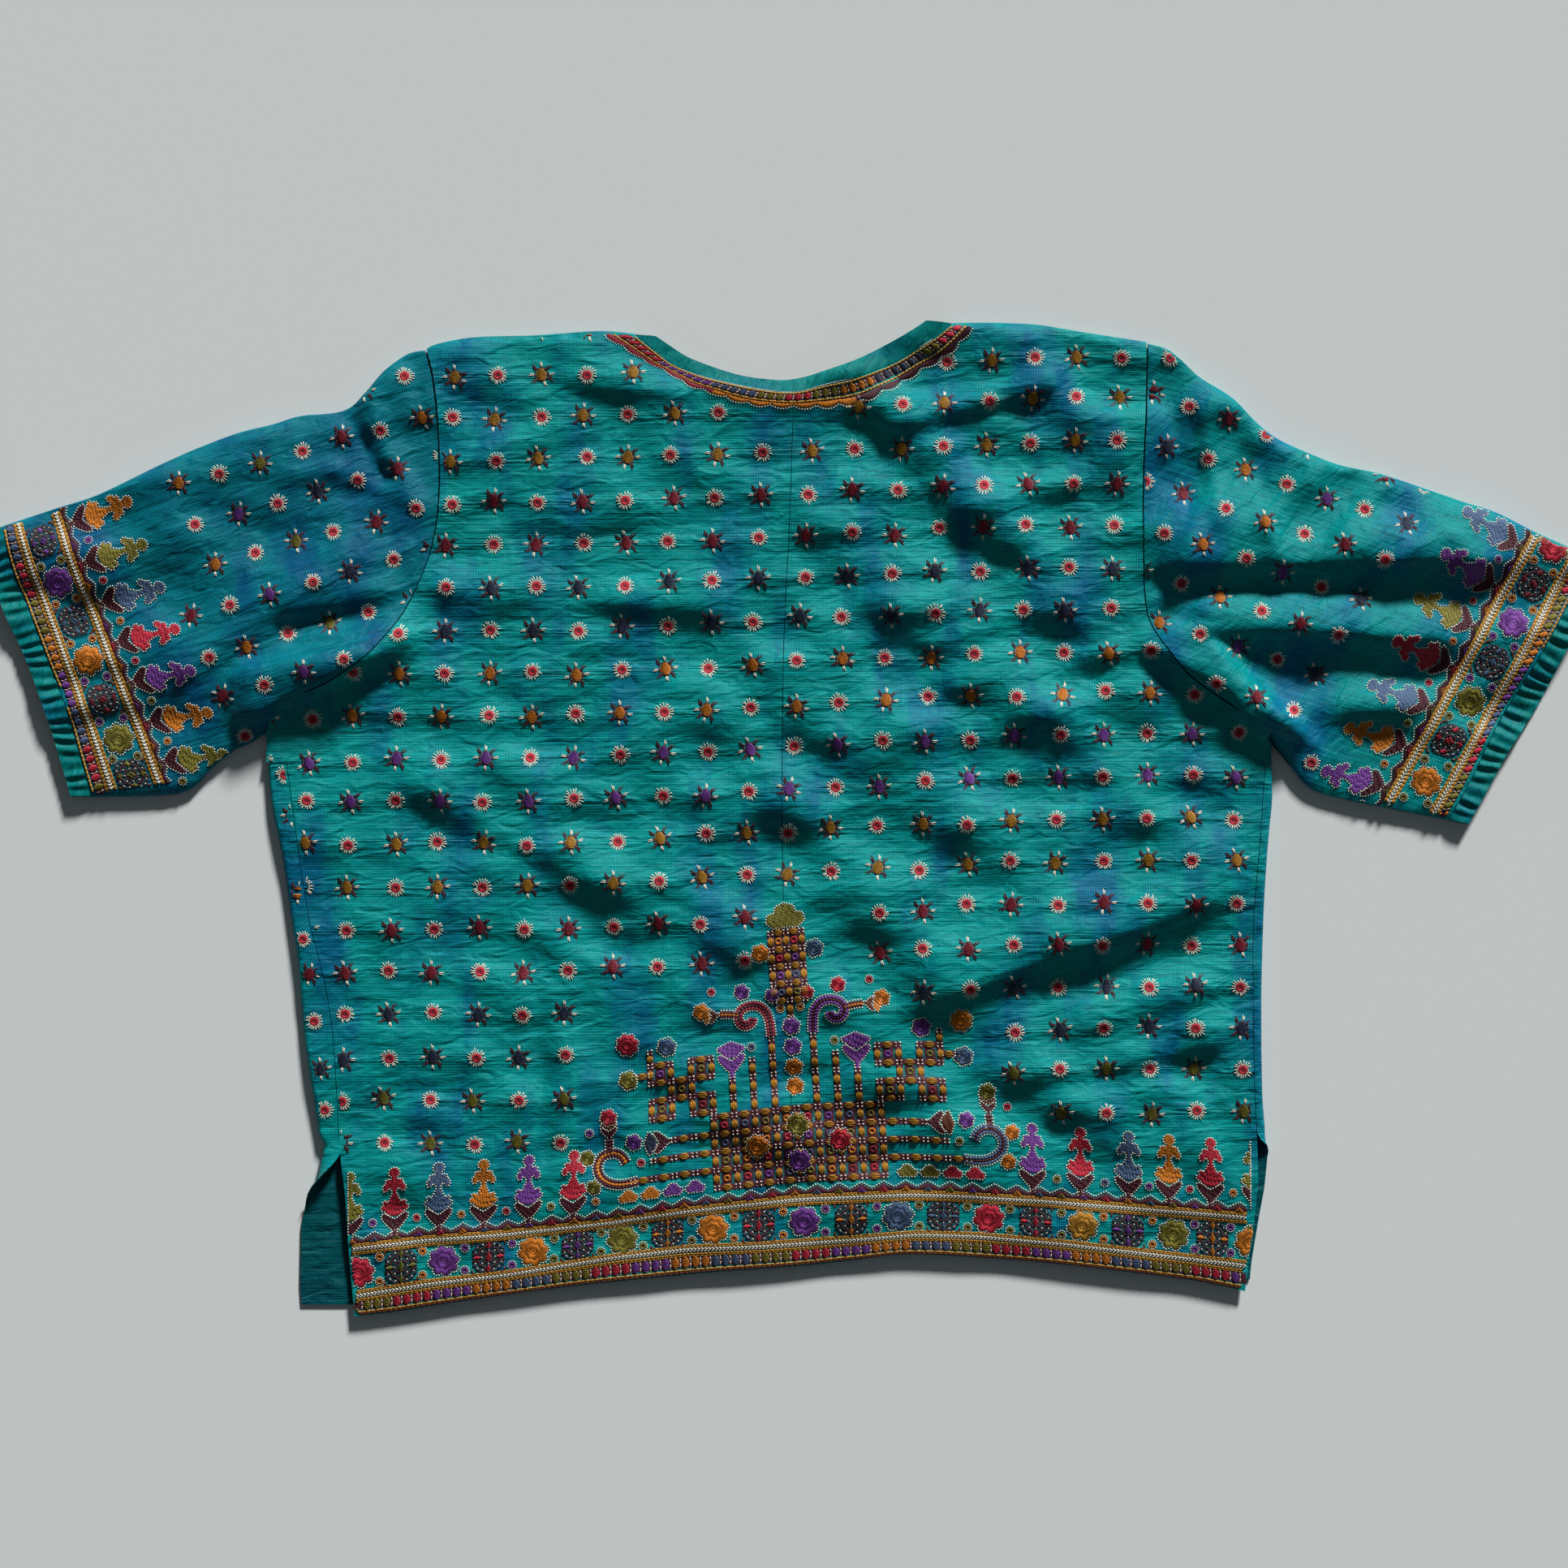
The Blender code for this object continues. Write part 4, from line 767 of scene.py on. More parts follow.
def tube_section(plan, lift):
    """Outer and inner loops of flattened tube sections over rows of plan points, foot first."""
    foot, top = plan[:, :1], plan[:, -1:]
    width = np.linalg.norm(top - foot, axis=2)[..., None]
    share = (run_along(plan[0]) / run_along(plan[0])[-1])[None, :, None]

    def drawn_in(amount):
        return plan + (amount / width + (1 - 2 * amount / width) * share - share) * (top - foot)

    upper, under = drawn_in(OUTER_DRAW), drawn_in(INNER_DRAW)
    height = upper_ply(upper[..., 0], upper[..., 1]) + lift
    depth = np.maximum(upper_ply(under[..., 0], under[..., 1]) + lift - CLOTH, CLOTH + LEAST_HOLLOW)
    outer, inner = [
        np.concatenate([lay(folds[:, :1], FOLD_HEIGHT), lay(way, above), lay(folds[:, -1:], FOLD_HEIGHT),
                        lay(way[:, ::-1], below)], axis=1)
        for folds, way, above, below in ((plan, upper, height, 0.0), (under, under, depth, CLOTH))
    ]
    return outer, inner


# The sleeves' silk is darker than the body's, and the left sleeve's is darkest: this is painted shade. Its
# bluer cast is painted too, for the shot silk's change of colour where the grain lies at another angle to the
# light.
for name, node, armhole_line, cuff, foot, top, grain, crinkle, colours, cut, area in (
    ("sleeve_panel_left", "sleeve_left", at_heights(LEFT_ARMHOLE, LEFT_HEIGHTS[ARMHOLE_START:]),
     LEFT_CUFF_LINE, LEFT_SLEEVE_FOOT, LEFT_SLEEVE_TOP, 15, 24, ("#003c4a", "#007c8c", "#005984"),
     (0.43, 0.24), 0.0696),
    ("sleeve_panel_right", "sleeve_right", at_heights(RIGHT_ARMHOLE, RIGHT_HEIGHTS[ARMHOLE_START:]),
     RIGHT_CUFF_LINE, RIGHT_SLEEVE_FOOT, RIGHT_SLEEVE_TOP, -18, 42, ("#00434c", "#009496", "#006f98"),
     (0.45, 0.245), 0.0742),
):
    start = moved_along_normal(armhole_line, -np.sign(armhole_line[0, 0]) * SEAM)
    sleeve_map = sleeve_plan(start, smooth_line(cuff, 60), smooth_line(foot, 60), smooth_line(top, 60),
                             SLEEVE_RINGS)
    outer, inner = tube_section(sleeve_map, 0.0)
    silk = shot_silk("teal_shot_silk_" + node, grain, crinkle, *colours)
    sleeve = cloth_wall(name, outer, inner, grid_faces(SLEEVE_RINGS, outer.shape[1], closed=True), silk)
    declare_cloth(sleeve, node, "table_top", cut, area)

# Cuff bands: the sleeve's mouth is turned back once and held by a row of hand stitches.
# The stitches draw the strip up into small even puckers, so it stands in ribs across its width.

CUFF_PUCKERS = 24
PUCKER_POINTS = 8
PUCKER_HEIGHT = 0.8
PUCKER_FADE = 0.05
PUCKER_LEAN = 0.012
CUFF_ROWS = 7
CUFF_GAP = 1.2 * SEAM
LEFT_CUFF_EDGE = [(-391, 12), (-403.5, 53.5), (-415.8, 87), (-430.3, 119.5), (-441, 154)]
RIGHT_CUFF_EDGE = [(364.8, -2.9), (377.5, 20), (388, 38.9), (403, 62), (419.3, 94), (442, 135.3)]
band_silk = shot_silk("teal_turned_silk", 65, 65, "#004449", "#008482", "#007288")
for name, node, line, edge, area in (
    ("cuff_strip_left", "cuff_band_left", LEFT_CUFF_LINE, LEFT_CUFF_EDGE, 0.0041),
    ("cuff_strip_right", "cuff_band_right", RIGHT_CUFF_LINE, RIGHT_CUFF_EDGE, 0.0042),
):
    shares = np.linspace(0, 1, CUFF_PUCKERS * PUCKER_POINTS + 1)
    seam_line, free_edge = spread(smooth_line(line, 60), shares), spread(smooth_line(edge, 60), shares)
    outward = free_edge - seam_line
    seam_line = seam_line + CUFF_GAP * outward / np.linalg.norm(outward, axis=1)[:, None]
    depth = np.linspace(0, 1, CUFF_ROWS)[:, None]
    plan = seam_line + (free_edge - seam_line) * depth[..., None]
    fade = smooth_step(shares / PUCKER_FADE) * smooth_step((1 - shares) / PUCKER_FADE)
    uneven = 1 + 0.35 * np.sin(shares * 37) + 0.25 * np.sin(shares * 91 + 1)
    lean = PUCKER_LEAN * np.sin(shares * 23) * depth
    ribs = PUCKER_HEIGHT * uneven * fade * np.cos(2 * np.pi * CUFF_PUCKERS * (shares + lean))
    lift = ribs * (0.25 + 0.75 * np.sin(np.pi * np.clip(0.08 + 0.92 * depth, 0, 1)) ** 0.6)
    outer, inner = tube_section(plan, lift)
    cuff_band = cloth_wall(name, outer, inner, grid_faces(CUFF_ROWS, outer.shape[1], closed=True), band_silk)
    declare_cloth(cuff_band, node, "table_top", (0.314, 0.0135), area)

# Neck bands: narrow folded strips of the silk, sewn round the neckline and turned to the inside edge.
# The back one shows in the photo as a plain strip above the trim. The front one lies under the back.

NECK_SEAM_HALF = 86.1
NECK_BAND_ROWS = 6
BAND_TUCK = 0.0875
TUCK_TURNS = 150
for name, node, seam_line, edge, rests_on, cut, area in (
    ("neck_strip_back", "neck_band_back",
     np.vstack([left_plan[-1][left_plan[-1][:, 0] > -NECK_SEAM_HALF],
                right_plan[-1][right_plan[-1][:, 0] < NECK_SEAM_HALF]]),
     NECK_EDGE, "neck_strip_front", (0.19, 0.01), 0.0016),
    ("neck_strip_front", "neck_band_front", front_neck_line, FRONT_NECK_EDGE, "table_top", (0.36, 0.01),
     0.0030),
):
    run = run_along(seam_line)
    free_edge = spread(smooth_line(edge, 80), run / run[-1])
    seam_line = moved_along_normal(seam_line, SEAM)
    shares = np.linspace(0, 1, NECK_BAND_ROWS)[:, None, None]
    plan = seam_line[None] + (free_edge - seam_line)[None] * shares
    if rests_on == "table_top":
        outer, inner = lay(plan, CLOTH), lay(plan, 0.0)
    else:
        tuck = BAND_TUCK * np.sin(np.linspace(0, TUCK_TURNS, plan.shape[1])) * np.sin(np.pi * shares[..., 0])
        outer = lay(plan, upper_ply(plan[..., 0], plan[..., 1]) + tuck)
        inner = outer - (0, 0, CLOTH)
    neck_band = cloth_wall(name, outer, inner, grid_faces(*plan.shape[:2]), band_silk)
    declare_cloth(neck_band, node, rests_on, cut, area)

# Scattered rings and stars: hand stitches in cotton floss, about 24 mm apart all over the silk.
# A ring is a small eyelet buttonholed in white round a crimson centre. A star is a satin block with
# four white and four dark rays. Each thread is a short spindle that lies on the cloth.

THREAD_LIFT = 0.12
FLOSS = {
    "white": "#e9e2d2", "gold": "#c08a2c", "mustard": "#b5801f", "olive": "#7d7626", "orange": "#d07c1c",
    "crimson": "#c4273f", "red": "#c9303f", "maroon": "#4b1626", "purple": "#7a3f9c", "slate": "#4c6488",
    "dark_slate": "#2b3550", "dark_teal": "#0b3b3f", "brown": "#5b2a16", "wine": "#8d1f33",
}
FLOSS_FINISH = {"Roughness": 0.58, "IOR": 1.53, "Specular IOR Level": 0.3, "Sheen Weight": 0.1}
floss = {}
for shade, sheet_colour in FLOSS.items():
    floss[shade], tree, shader = new_material("cotton_floss_" + shade, FLOSS_FINISH)
    place = add_node(tree, "ShaderNodeTexCoord").outputs["Object"]
    # Strands differ a little in tone along and beside each other, at about the thread's own width
    strands = add_node(tree, "ShaderNodeTexNoise", {"Vector": place, "Scale": 900.0, "Detail": 2.0})
    tone = add_node(tree, "ShaderNodeMapRange", {
        "Value": strands.outputs["Fac"], "From Min": 0.3, "From Max": 0.7, "To Min": 0.72, "To Max": 1.16})
    tinted = add_node(tree, "ShaderNodeVectorMath", {0: linear(sheet_colour)[:3], "Scale": tone.outputs[0]},
                      operation="SCALE")
    tree.links.new(tinted.outputs[0], shader.inputs["Base Color"])


def sew(bag, shade, starts, ends, width=0.6, height=0.4):
    """Adds straight stitches of one thread to a bag, from plan points to plan points."""
    starts, ends = np.reshape(starts, (-1, 2)), np.reshape(ends, (-1, 2))
    sizes = np.tile([width, height], (len(starts), 1))
    bag.setdefault(shade, []).append(np.hstack([starts, ends, sizes]))


# A stitch's spindle: where its two widest rings are along it, and its eight faces
SPINDLE_RINGS = (0.24, 0.76)
SPINDLE_FACES = np.array([(0, 2, 1), (0, 3, 2), (1, 2, 5), (1, 5, 4), (2, 3, 6), (2, 6, 5), (4, 5, 7),
                          (5, 6, 7)])


def lay_threads(name, bag):
    """One piece of all the stitches in a bag, each a spindle of eight triangles on the cloth."""
    shades = sorted(bag)
    parts = [np.vstack(bag[shade]) for shade in shades]
    rows = np.vstack(parts)
    starts, ends, width, height = rows[:, 0:2], rows[:, 2:4], rows[:, 4:5], rows[:, 5:6]
    along = ends - starts
    length = np.maximum(np.linalg.norm(along, axis=1, keepdims=True), 1e-6)
    beside = np.column_stack([-along[:, 1], along[:, 0]]) / length * width / 2
    near, far = [starts + share * along for share in SPINDLE_RINGS]
    plan = np.stack([starts, near + beside, near, near - beside, far + beside, far, far - beside, ends],
                    axis=1)
    raised = np.zeros(plan.shape[:2])
    raised[:, [2, 5]] = height
    points = np.dstack([plan, upper_ply(plan[..., 0], plan[..., 1]) + THREAD_LIFT + raised])
    faces = (SPINDLE_FACES + 8 * np.arange(len(rows))[:, None, None]).reshape(-1, 3)
    mesh = bpy.data.meshes.new(name)
    mesh.from_pydata(to_metres(points).tolist(), [], faces.tolist())
    for shade in shades:
        mesh.materials.append(floss[shade])
    slots = np.repeat(np.arange(len(shades)), [8 * len(part) for part in parts])
    mesh.polygons.foreach_set("material_index", slots.astype(np.int32))
    mesh.shade_smooth()
    made = placed(name, mesh)
    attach(made, "root")


stitch_draws = np.random.default_rng(5)


def even_turns(count):
    """Angles spread evenly over a whole turn."""
    return np.linspace(0, 2 * np.pi, count, endpoint=False)


def ways_at(angles):
    """Unit steps that point at the given angles."""
    return np.column_stack([np.cos(angles), np.sin(angles)])


def turned(points, angle):
    """Points turned about the origin."""
    cosine, sine = np.cos(angle), np.sin(angle)
    return np.asarray(points, float) @ np.array([[cosine, sine], [-sine, cosine]])


def spokes(centre, angles, inner, outer):
    """The two ends of straight stitches that stand round a centre."""
    return centre + ways_at(angles) * inner, centre + ways_at(angles) * outer


def ring_buti(bag, centre, size=1.0):
    """A small eyelet: white buttonhole spokes round a crimson centre."""
    turn = stitch_draws.uniform(0, 1)
    squash = stitch_draws.uniform(0.94, 1.06)
    spoke_angles = turn + even_turns(19) + stitch_draws.normal(0, 0.05, 19)
    reach = 5.2 * size * squash + stitch_draws.normal(0, 0.3, 19)[:, None]
    sew(bag, "white", *spokes(centre, spoke_angles, 2.8 * size, reach), width=0.6, height=0.5)
    rim = centre + 2.9 * size * ways_at(spoke_angles)
    sew(bag, "white", rim, np.roll(rim, -1, axis=0), width=0.5, height=0.45)
    sew(bag, "red", *spokes(centre, turn + even_turns(16), 0.9 * size, 2.75 * size), width=0.95, height=0.6)
    sew(bag, "wine", *spokes(centre, turn + even_turns(8), 0.1, 1.35 * size), width=0.6, height=0.45)


STAR_CORNERS = [(-3.5, -1.6), (-1.9, -3.4), (1.9, -3.4), (3.5, -1.6), (3.5, 1.6), (1.9, 3.4), (-1.9, 3.4),
                (-3.5, 1.6)]


def star_buti(bag, centre, shade, size=1.0):
    """A satin block with four white rays and four dark ones."""
    turn = stitch_draws.normal(0, 0.12)
    half = 2.9 * size
    rows = np.linspace(-half, half, 11)
    reach = half * (1.12 - 0.55 * (np.abs(rows) / half) ** 1.6)
    left, right = [centre + turned(np.column_stack([way * reach, rows]), turn) for way in (-1, 1)]
    sew(bag, shade, left, right, width=0.85, height=0.75)
    corners = centre + turned(np.array(STAR_CORNERS) * size, turn)
    sew(bag, "maroon", corners, np.roll(corners, -1, axis=0), width=0.85, height=0.5)
    cross = turn + np.radians([0, 90, 180, 270]) + stitch_draws.normal(0, 0.1, 4)
    for shift in (-0.07, 0.07):
        sew(bag, "white", *spokes(centre, cross + shift, 3.9 * size, (6.9 + 5 * shift) * size), width=0.6,
            height=0.5)
    cross = cross + np.pi / 4
    for shift in (-0.09, 0.09):
        sew(bag, "maroon", *spokes(centre, cross + shift, 3.3 * size, (7.2 - 6 * shift) * size), width=0.66,
            height=0.45)


def closed_loop(points):
    """A line that ends where it starts."""
    return np.vstack([points, points[:1]])


def inside(points, loop, margin):
    """Whether each plan point lies inside a closed outline and further than a margin from it."""
    after = np.roll(loop, -1, axis=0)
    crosses = (loop[:, 1] > points[:, 1:]) != (after[:, 1] > points[:, 1:])
    slope = (after[:, 0] - loop[:, 0]) / (after[:, 1] - loop[:, 1] + 1e-9)
    passed = crosses & (points[:, :1] < loop[:, 0] + slope * (points[:, 1:] - loop[:, 1]))
    clear = distance_to([closed_loop(loop)], points[:, 0], points[:, 1]) > margin
    return (passed.sum(axis=1) % 2 == 1) & clear


def trimmed(bag, loop, margin=0.9):
    """The stitches of a bag that lie on a panel, as the panel's edges leave them."""
    kept = {}
    for shade, parts in bag.items():
        rows = np.vstack(parts)
        kept[shade] = [rows[inside(rows[:, :2], loop, margin) & inside(rows[:, 2:4], loop, margin)]]
    return kept


back_loop = np.vstack([left_side, smooth_line(BACK_TOP_LEFT, 20), smooth_line(BACK_NECK, 40),
                       smooth_line(BACK_TOP_RIGHT, 20), right_side[::-1], smooth_line(BACK_HEM, 60)[::-1]])
# The rows on the back, from the photo: the first row's pixel and the step to the next, down the left side and
# down the right one
MM_A_PIXEL = 0.44
PHOTO_MIDDLE_X = 978
PHOTO_MIDDLE_Y = 1009.5
ROW_PIXELS = ((411.6, 52.4), (390.5, 51.5))
BACK_ROWS = 20
MOTIFS_A_ROW = 13
ROWS_LEFT = -184
ROWS_WIDTH = 370


def body_rows():
    """Where each ring and star stands on the back: its plan point, whether it is a ring, and its row."""
    for row in range(BACK_ROWS):
        left_y, right_y = [(PHOTO_MIDDLE_Y - (first + step * row)) * MM_A_PIXEL for first, step in ROW_PIXELS]
        # The first motif on each side of the seam and the step to the next, which change from row to row
        for outward, first, pitch in (
            (-1, -17.6 - 0.75 * (row - 3), 23.95),
            (1, max(10.1 - 1.5 * (row - 3), -3.5), 23.4 + 0.066 * row),
        ):
            for step in range(MOTIFS_A_ROW):
                x = first + outward * pitch * step
                y = left_y + (right_y - left_y) * smooth_step((x - ROWS_LEFT) / ROWS_WIDTH)
                is_ring = (row + step) % 2 == (1 if outward < 0 else 0)
                yield np.array([x, y]) + stitch_draws.normal(0, 0.7, 2), is_ring, row


STAR_SHADES = ["mustard", "mustard", "wine", "dark_slate", "orange", "purple", "mustard", "wine",
               "dark_slate", "olive"]
TRIM_HALF = 104
TRIM_DEPTH = 13
neckline = curve_height(BACK_TOP_LEFT, BACK_NECK, BACK_TOP_RIGHT)
# The stepped panel's middle and lean, its top line, and its steps: half width and height
PANEL_MIDDLE = 4.5
ROWS_LEAN = 0.028
PANEL_FOOT = -194
PANEL_STEPS = ((22, -36), (62, -86), (106, -100), (128, -142))
TREE_TOPS = [(-245, -190), (-100, -182), (0, -170), (130, -170), (250, -172)]


def has_other_work(point):
    """Whether a point lies on the neck trim, the stepped panel or the hem's trees, where the rows stop."""
    x, y = point
    by_trim = abs(x) < TRIM_HALF and y > neckline(x) - TRIM_DEPTH
    out, up = abs(x - PANEL_MIDDLE), y + ROWS_LEAN * (PANEL_MIDDLE - x)
    on_panel = up < PANEL_FOOT or any(out < reach and up < high for reach, high in PANEL_STEPS)
    return by_trim or on_panel or y < height_at(TREE_TOPS, x)


PULL_REACH = np.array([13.0, 2.6])


def mark_pull(piece, centres):
    """Marks how strongly the tight stitching beside each motif pulls the cloth into fine lines across."""
    spots = np.array([corner.co[:2] for corner in piece.data.vertices]) * 1000 + PLAN_CENTRE[:2]
    pull = np.zeros(len(spots))
    for centre in centres:
        away = (spots - centre) / PULL_REACH
        pull = np.maximum(pull, np.exp(-(away ** 2).sum(1)))
    piece.data.attributes.new("stitch_pull", "FLOAT", "POINT").data.foreach_set("value", pull)


back_scatter = {}
back_centres = []
for centre, is_ring, row in body_rows():
    if has_other_work(centre):
        continue
    back_centres.append(centre)
    if is_ring:
        ring_buti(back_scatter, centre)
    else:
        star_buti(back_scatter, centre, STAR_SHADES[row // 2])
lay_threads("scattered_motifs_back", trimmed(back_scatter, back_loop))
for piece in (back_left, back_right):
    mark_pull(piece, back_centres)

# A few of the front's own motifs show where its edge is rolled over the left side.
FLAP_MOTIFS = [(-268.4, -39.8), (-265.5, -64.9), (-262, -83.8), (-259.4, -109.3), (-255.9, -134.9),
               (-253.7, -157.3), (-271.6, 2.0), (-275.4, 24.0)]
flap_loop = np.vstack([smooth_line(LEFT_SEAM, 30) - (0.8, 0),
                       smooth_line(LEFT_SILHOUETTE, 30)[::-1] + (1.2, 0)])
flap_scatter = {}
for index, centre in enumerate(FLAP_MOTIFS):
    if index % 2:
        ring_buti(flap_scatter, np.array(centre), size=0.95)
    else:
        star_buti(flap_scatter, np.array(centre), ["orange", "dark_slate", "wine"][index % 3], size=0.9)
lay_threads("scattered_motifs_side", trimmed(flap_scatter, flap_loop, margin=0.3))

# The sleeves carry the same rings and stars on a grid turned with the arm: the grid's first ring,
# the step along the sleeve and the step across it, as plan points.
SLEEVE_GRIDS = {
    "left": dict(first=(-353.8, 175.3), along=(21.8, 5.95), across=(9.4, -21.7), armhole=LEFT_ARMHOLE,
                 top=LEFT_SLEEVE_TOP, cuff=LEFT_CUFF_LINE, foot=LEFT_SLEEVE_FOOT,
                 shades=["wine", "orange", "purple", "olive", "dark_slate", "wine"]),
    "right": dict(first=(265.8, 181.1), along=(21.3, -7.1), across=(-11.8, -20.3), armhole=RIGHT_ARMHOLE,
                  top=RIGHT_SLEEVE_TOP, cuff=RIGHT_CUFF_LINE, foot=RIGHT_SLEEVE_FOOT,
                  shades=["orange", "purple", "wine", "dark_slate", "wine", "orange"]),
}
CUFF_BORDER_DEPTH = 80
SLEEVE_MARGIN = 12
SLEEVE_MOTIF_SIZE = 0.97
sleeve_loops = {}
for side, grid in SLEEVE_GRIDS.items():
    sleeve_scatter = {}
    cuff = smooth_line(grid["cuff"], 40)
    loop = np.vstack([smooth_line(grid["armhole"], 50), smooth_line(grid["top"], 60), cuff[::-1],
                      smooth_line(grid["foot"], 50)[::-1]])
    sleeve_loops[side] = loop
    first, along, across = [np.array(grid[key]) for key in ("first", "along", "across")]
    for step_along in range(-6, 9):
        for step_across in range(-4, 10):
            centre = first + step_along * along + step_across * across + stitch_draws.normal(0, 0.6, 2)
            off_sleeve = distance_to([loop], *centre) > SLEEVE_MARGIN and not inside(centre[None], loop, 0)[0]
            if off_sleeve or distance_to([cuff], *centre) < CUFF_BORDER_DEPTH:
                continue
            if (step_along + step_across) % 2 == 0:
                ring_buti(sleeve_scatter, centre, SLEEVE_MOTIF_SIZE)
            else:
                star_buti(sleeve_scatter, centre, grid["shades"][step_along % 6], SLEEVE_MOTIF_SIZE)
    lay_threads("scattered_motifs_sleeve_" + side, trimmed(sleeve_scatter, loop))

# Hem border, 43 mm deep: cotton floss in bands, from the edge up a row of satin beads, flowers between
# dark blocks, a zigzag and standing trees. Two couched cords part the bands: a white braid between gold
# lines. Every band is drawn on a strip whose own measures run along the hem and up from it.

LOWER_CORD = [(-241, -259), (-198.2, -251.9), (-156.1, -247), (-100, -237.8), (-57.9, -232.9),
              (-16.9, -231.5), (32.3, -228), (67.3, -225.2), (102.4, -226.3), (144.5, -230.1),
              (168.1, -232.9), (247.3, -242.2)]
UPPER_CORD = [(-241, -233), (-198.2, -228), (-156.1, -225.1), (-100, -218.9), (-57.9, -212.6),
              (4.2, -205.8), (60.3, -203.5), (88.4, -204.4), (130.5, -206.7), (168.1, -209.7),
              (247.3, -215.8)]
GOBLET = [(0.8, 0), (1.2, 3.5), (3, 5), (6.6, 9.5), (6.9, 12), (5, 12.6), (2, 10.5), (0, 9.2)]
TULIP = [(0, 10.6), (2.2, 11.0), (4.2, 12.0), (4.8, 13.4), (6.8, 14.2), (7.1, 16.2), (5.6, 17.0),
         (6.0, 18.8), (4.4, 19.6), (3.3, 18.4), (2.4, 20.0), (1.6, 21.8), (0.9, 23)]
ANCHOR = [(0.9, 22.6), (1.0, 25.4), (2.4, 26.4), (3.4, 24.8), (5.2, 24.6), (6.1, 26.4), (5.4, 28.2),
          (4.2, 28.6), (4.5, 30.4), (3.0, 31.2), (1.6, 30.8), (1.1, 32.4)]
KNOB = [(0.9, 32.0), (2.3, 33.0), (2.7, 34.6), (2.0, 36.4), (0.5, 37.4)]
BEAD_CYCLE = ["olive", "crimson", "purple", "orange", "slate"]
STRIP_COLUMNS = 120
PAST_STRIP = 100


def strip(lines, levels, length):
    """A function from measures along and across a strip to plan points, given its lines across."""
    shares = np.linspace(0, 1, STRIP_COLUMNS)
    grid = np.array([spread(smooth_line(line, STRIP_COLUMNS), shares) for line in lines])
    step = grid[-1] - grid[-2]
    step /= np.linalg.norm(step, axis=1)[:, None]
    grid = np.concatenate([grid, grid[-1:] + PAST_STRIP * step[None]])
    heights = np.array(list(levels) + [levels[-1] + PAST_STRIP])

    def plan_of(along, across):
        along, across = np.broadcast_arrays(np.asarray(along, float), np.asarray(across, float))
        column = np.clip(along / length, 0, 1) * (len(shares) - 1)
        left = np.minimum(column.astype(int), len(shares) - 2)
        level = np.clip(np.searchsorted(heights, across, side="right") - 1, 0, len(heights) - 2)
        up = (across - heights[level]) / (heights[level + 1] - heights[level])
        return read_between(grid, level, left, up[..., None], (column - left)[..., None])

    return plan_of


def drawn(plan_of, along, across, points, turn=0.0, size=1.0):
    """Points of a motif's own drawing, set on a strip at a place and a turn."""
    spun = turned(size * np.asarray(points, float), turn)
    return plan_of(along + spun[..., 0], across + spun[..., 1])


def run_line(bag, shade, line, step=2.2, width=0.85, height=0.5):
    """Backstitches end to end along a line."""
    count = max(int(round(run_along(line)[-1] / step)), 1)
    marks = spread(line, np.linspace(0, 1, count + 1))
    overlap = 0.14 * (marks[1:] - marks[:-1])
    sew(bag, shade, marks[:-1] - overlap, marks[1:] + overlap, width, height)


def dotted(bag, shade, line, spacing=1.5, width=0.95, height=0.7):
    """Short stitches with gaps between them along a line, like a row of beads."""
    count = max(int(round(run_along(line)[-1] / spacing)), 3)
    middles = spread(line, (np.arange(count) + 0.5) / count)
    way = np.gradient(middles, axis=0)
    way *= 0.42 / np.maximum(np.linalg.norm(way, axis=1), 1e-6)[:, None]
    sew(bag, shade, middles - way, middles + way, width, height)


# How far a satin row's stitches overlap at each end, and how far its breaks move from row to row
STITCH_LAP = 0.15
BREAK_SHIFT = 0.22


def fill(bag, shade, outline, angle=0.0, pitch=0.58, width=0.8, longest=3.6, height=0.5):
    """Fills an outline with satin stitches side by side, each row broken at its own places."""
    flat = turned(outline, -angle)
    after = np.roll(flat, -1, axis=0)
    starts, ends = [], []
    for index, level in enumerate(np.arange(flat[:, 1].min() + 0.4 * pitch, flat[:, 1].max(), pitch)):
        crossing = (flat[:, 1] > level) != (after[:, 1] > level)
        share = (level - flat[crossing, 1]) / (after[crossing, 1] - flat[crossing, 1])
        cuts = np.sort(flat[crossing, 0] + share * (after[crossing, 0] - flat[crossing, 0]))
        for low, high in zip(cuts[::2], cuts[1::2]):
            parts = max(int(np.ceil((high - low) / longest)), 1)
            marks = np.linspace(low, high, parts + 1)
            marks[1:-1] += BREAK_SHIFT * longest * ((index % 3) - 1)
            starts += [(mark - STITCH_LAP, level) for mark in marks[:-1]]
            ends += [(mark + STITCH_LAP, level) for mark in marks[1:]]
    if starts:
        sew(bag, shade, turned(starts, angle), turned(ends, angle), width, height)


def both_sides(half):
    """A closed outline from the right half of an upright motif."""
    half = np.array(half, float)
    return np.vstack([half, half[::-1] * (-1, 1)])


def flower(bag, centre, shade, radius, petals=8, turn=0.0, rise=0.0):
    """A flower in long and short stitches that fan out to its petals, in a white outline."""
    angles = even_turns(petals * 9)
    edge = radius * (0.76 + 0.24 * np.abs(np.cos(petals / 2 * (angles - turn))) ** 0.8)[:, None]
    tips = edge * stitch_draws.uniform(0.94, 1.02, edge.shape)
    sew(bag, shade, *spokes(centre, angles, 0.46 * edge, tips), width=0.115 * radius, height=0.75 + rise)
    sew(bag, shade, *spokes(centre, angles[::2], 0.16 * radius, 0.6 * edge[::2]), width=0.1 * radius,
        height=0.85 + rise)
    sew(bag, shade, *spokes(centre, angles[::6], 0.0, 0.3 * radius), width=0.11 * radius, height=0.6 + rise)
    dotted(bag, "white", closed_loop(centre + ways_at(angles) * (edge + 0.35)), height=0.66 + rise)


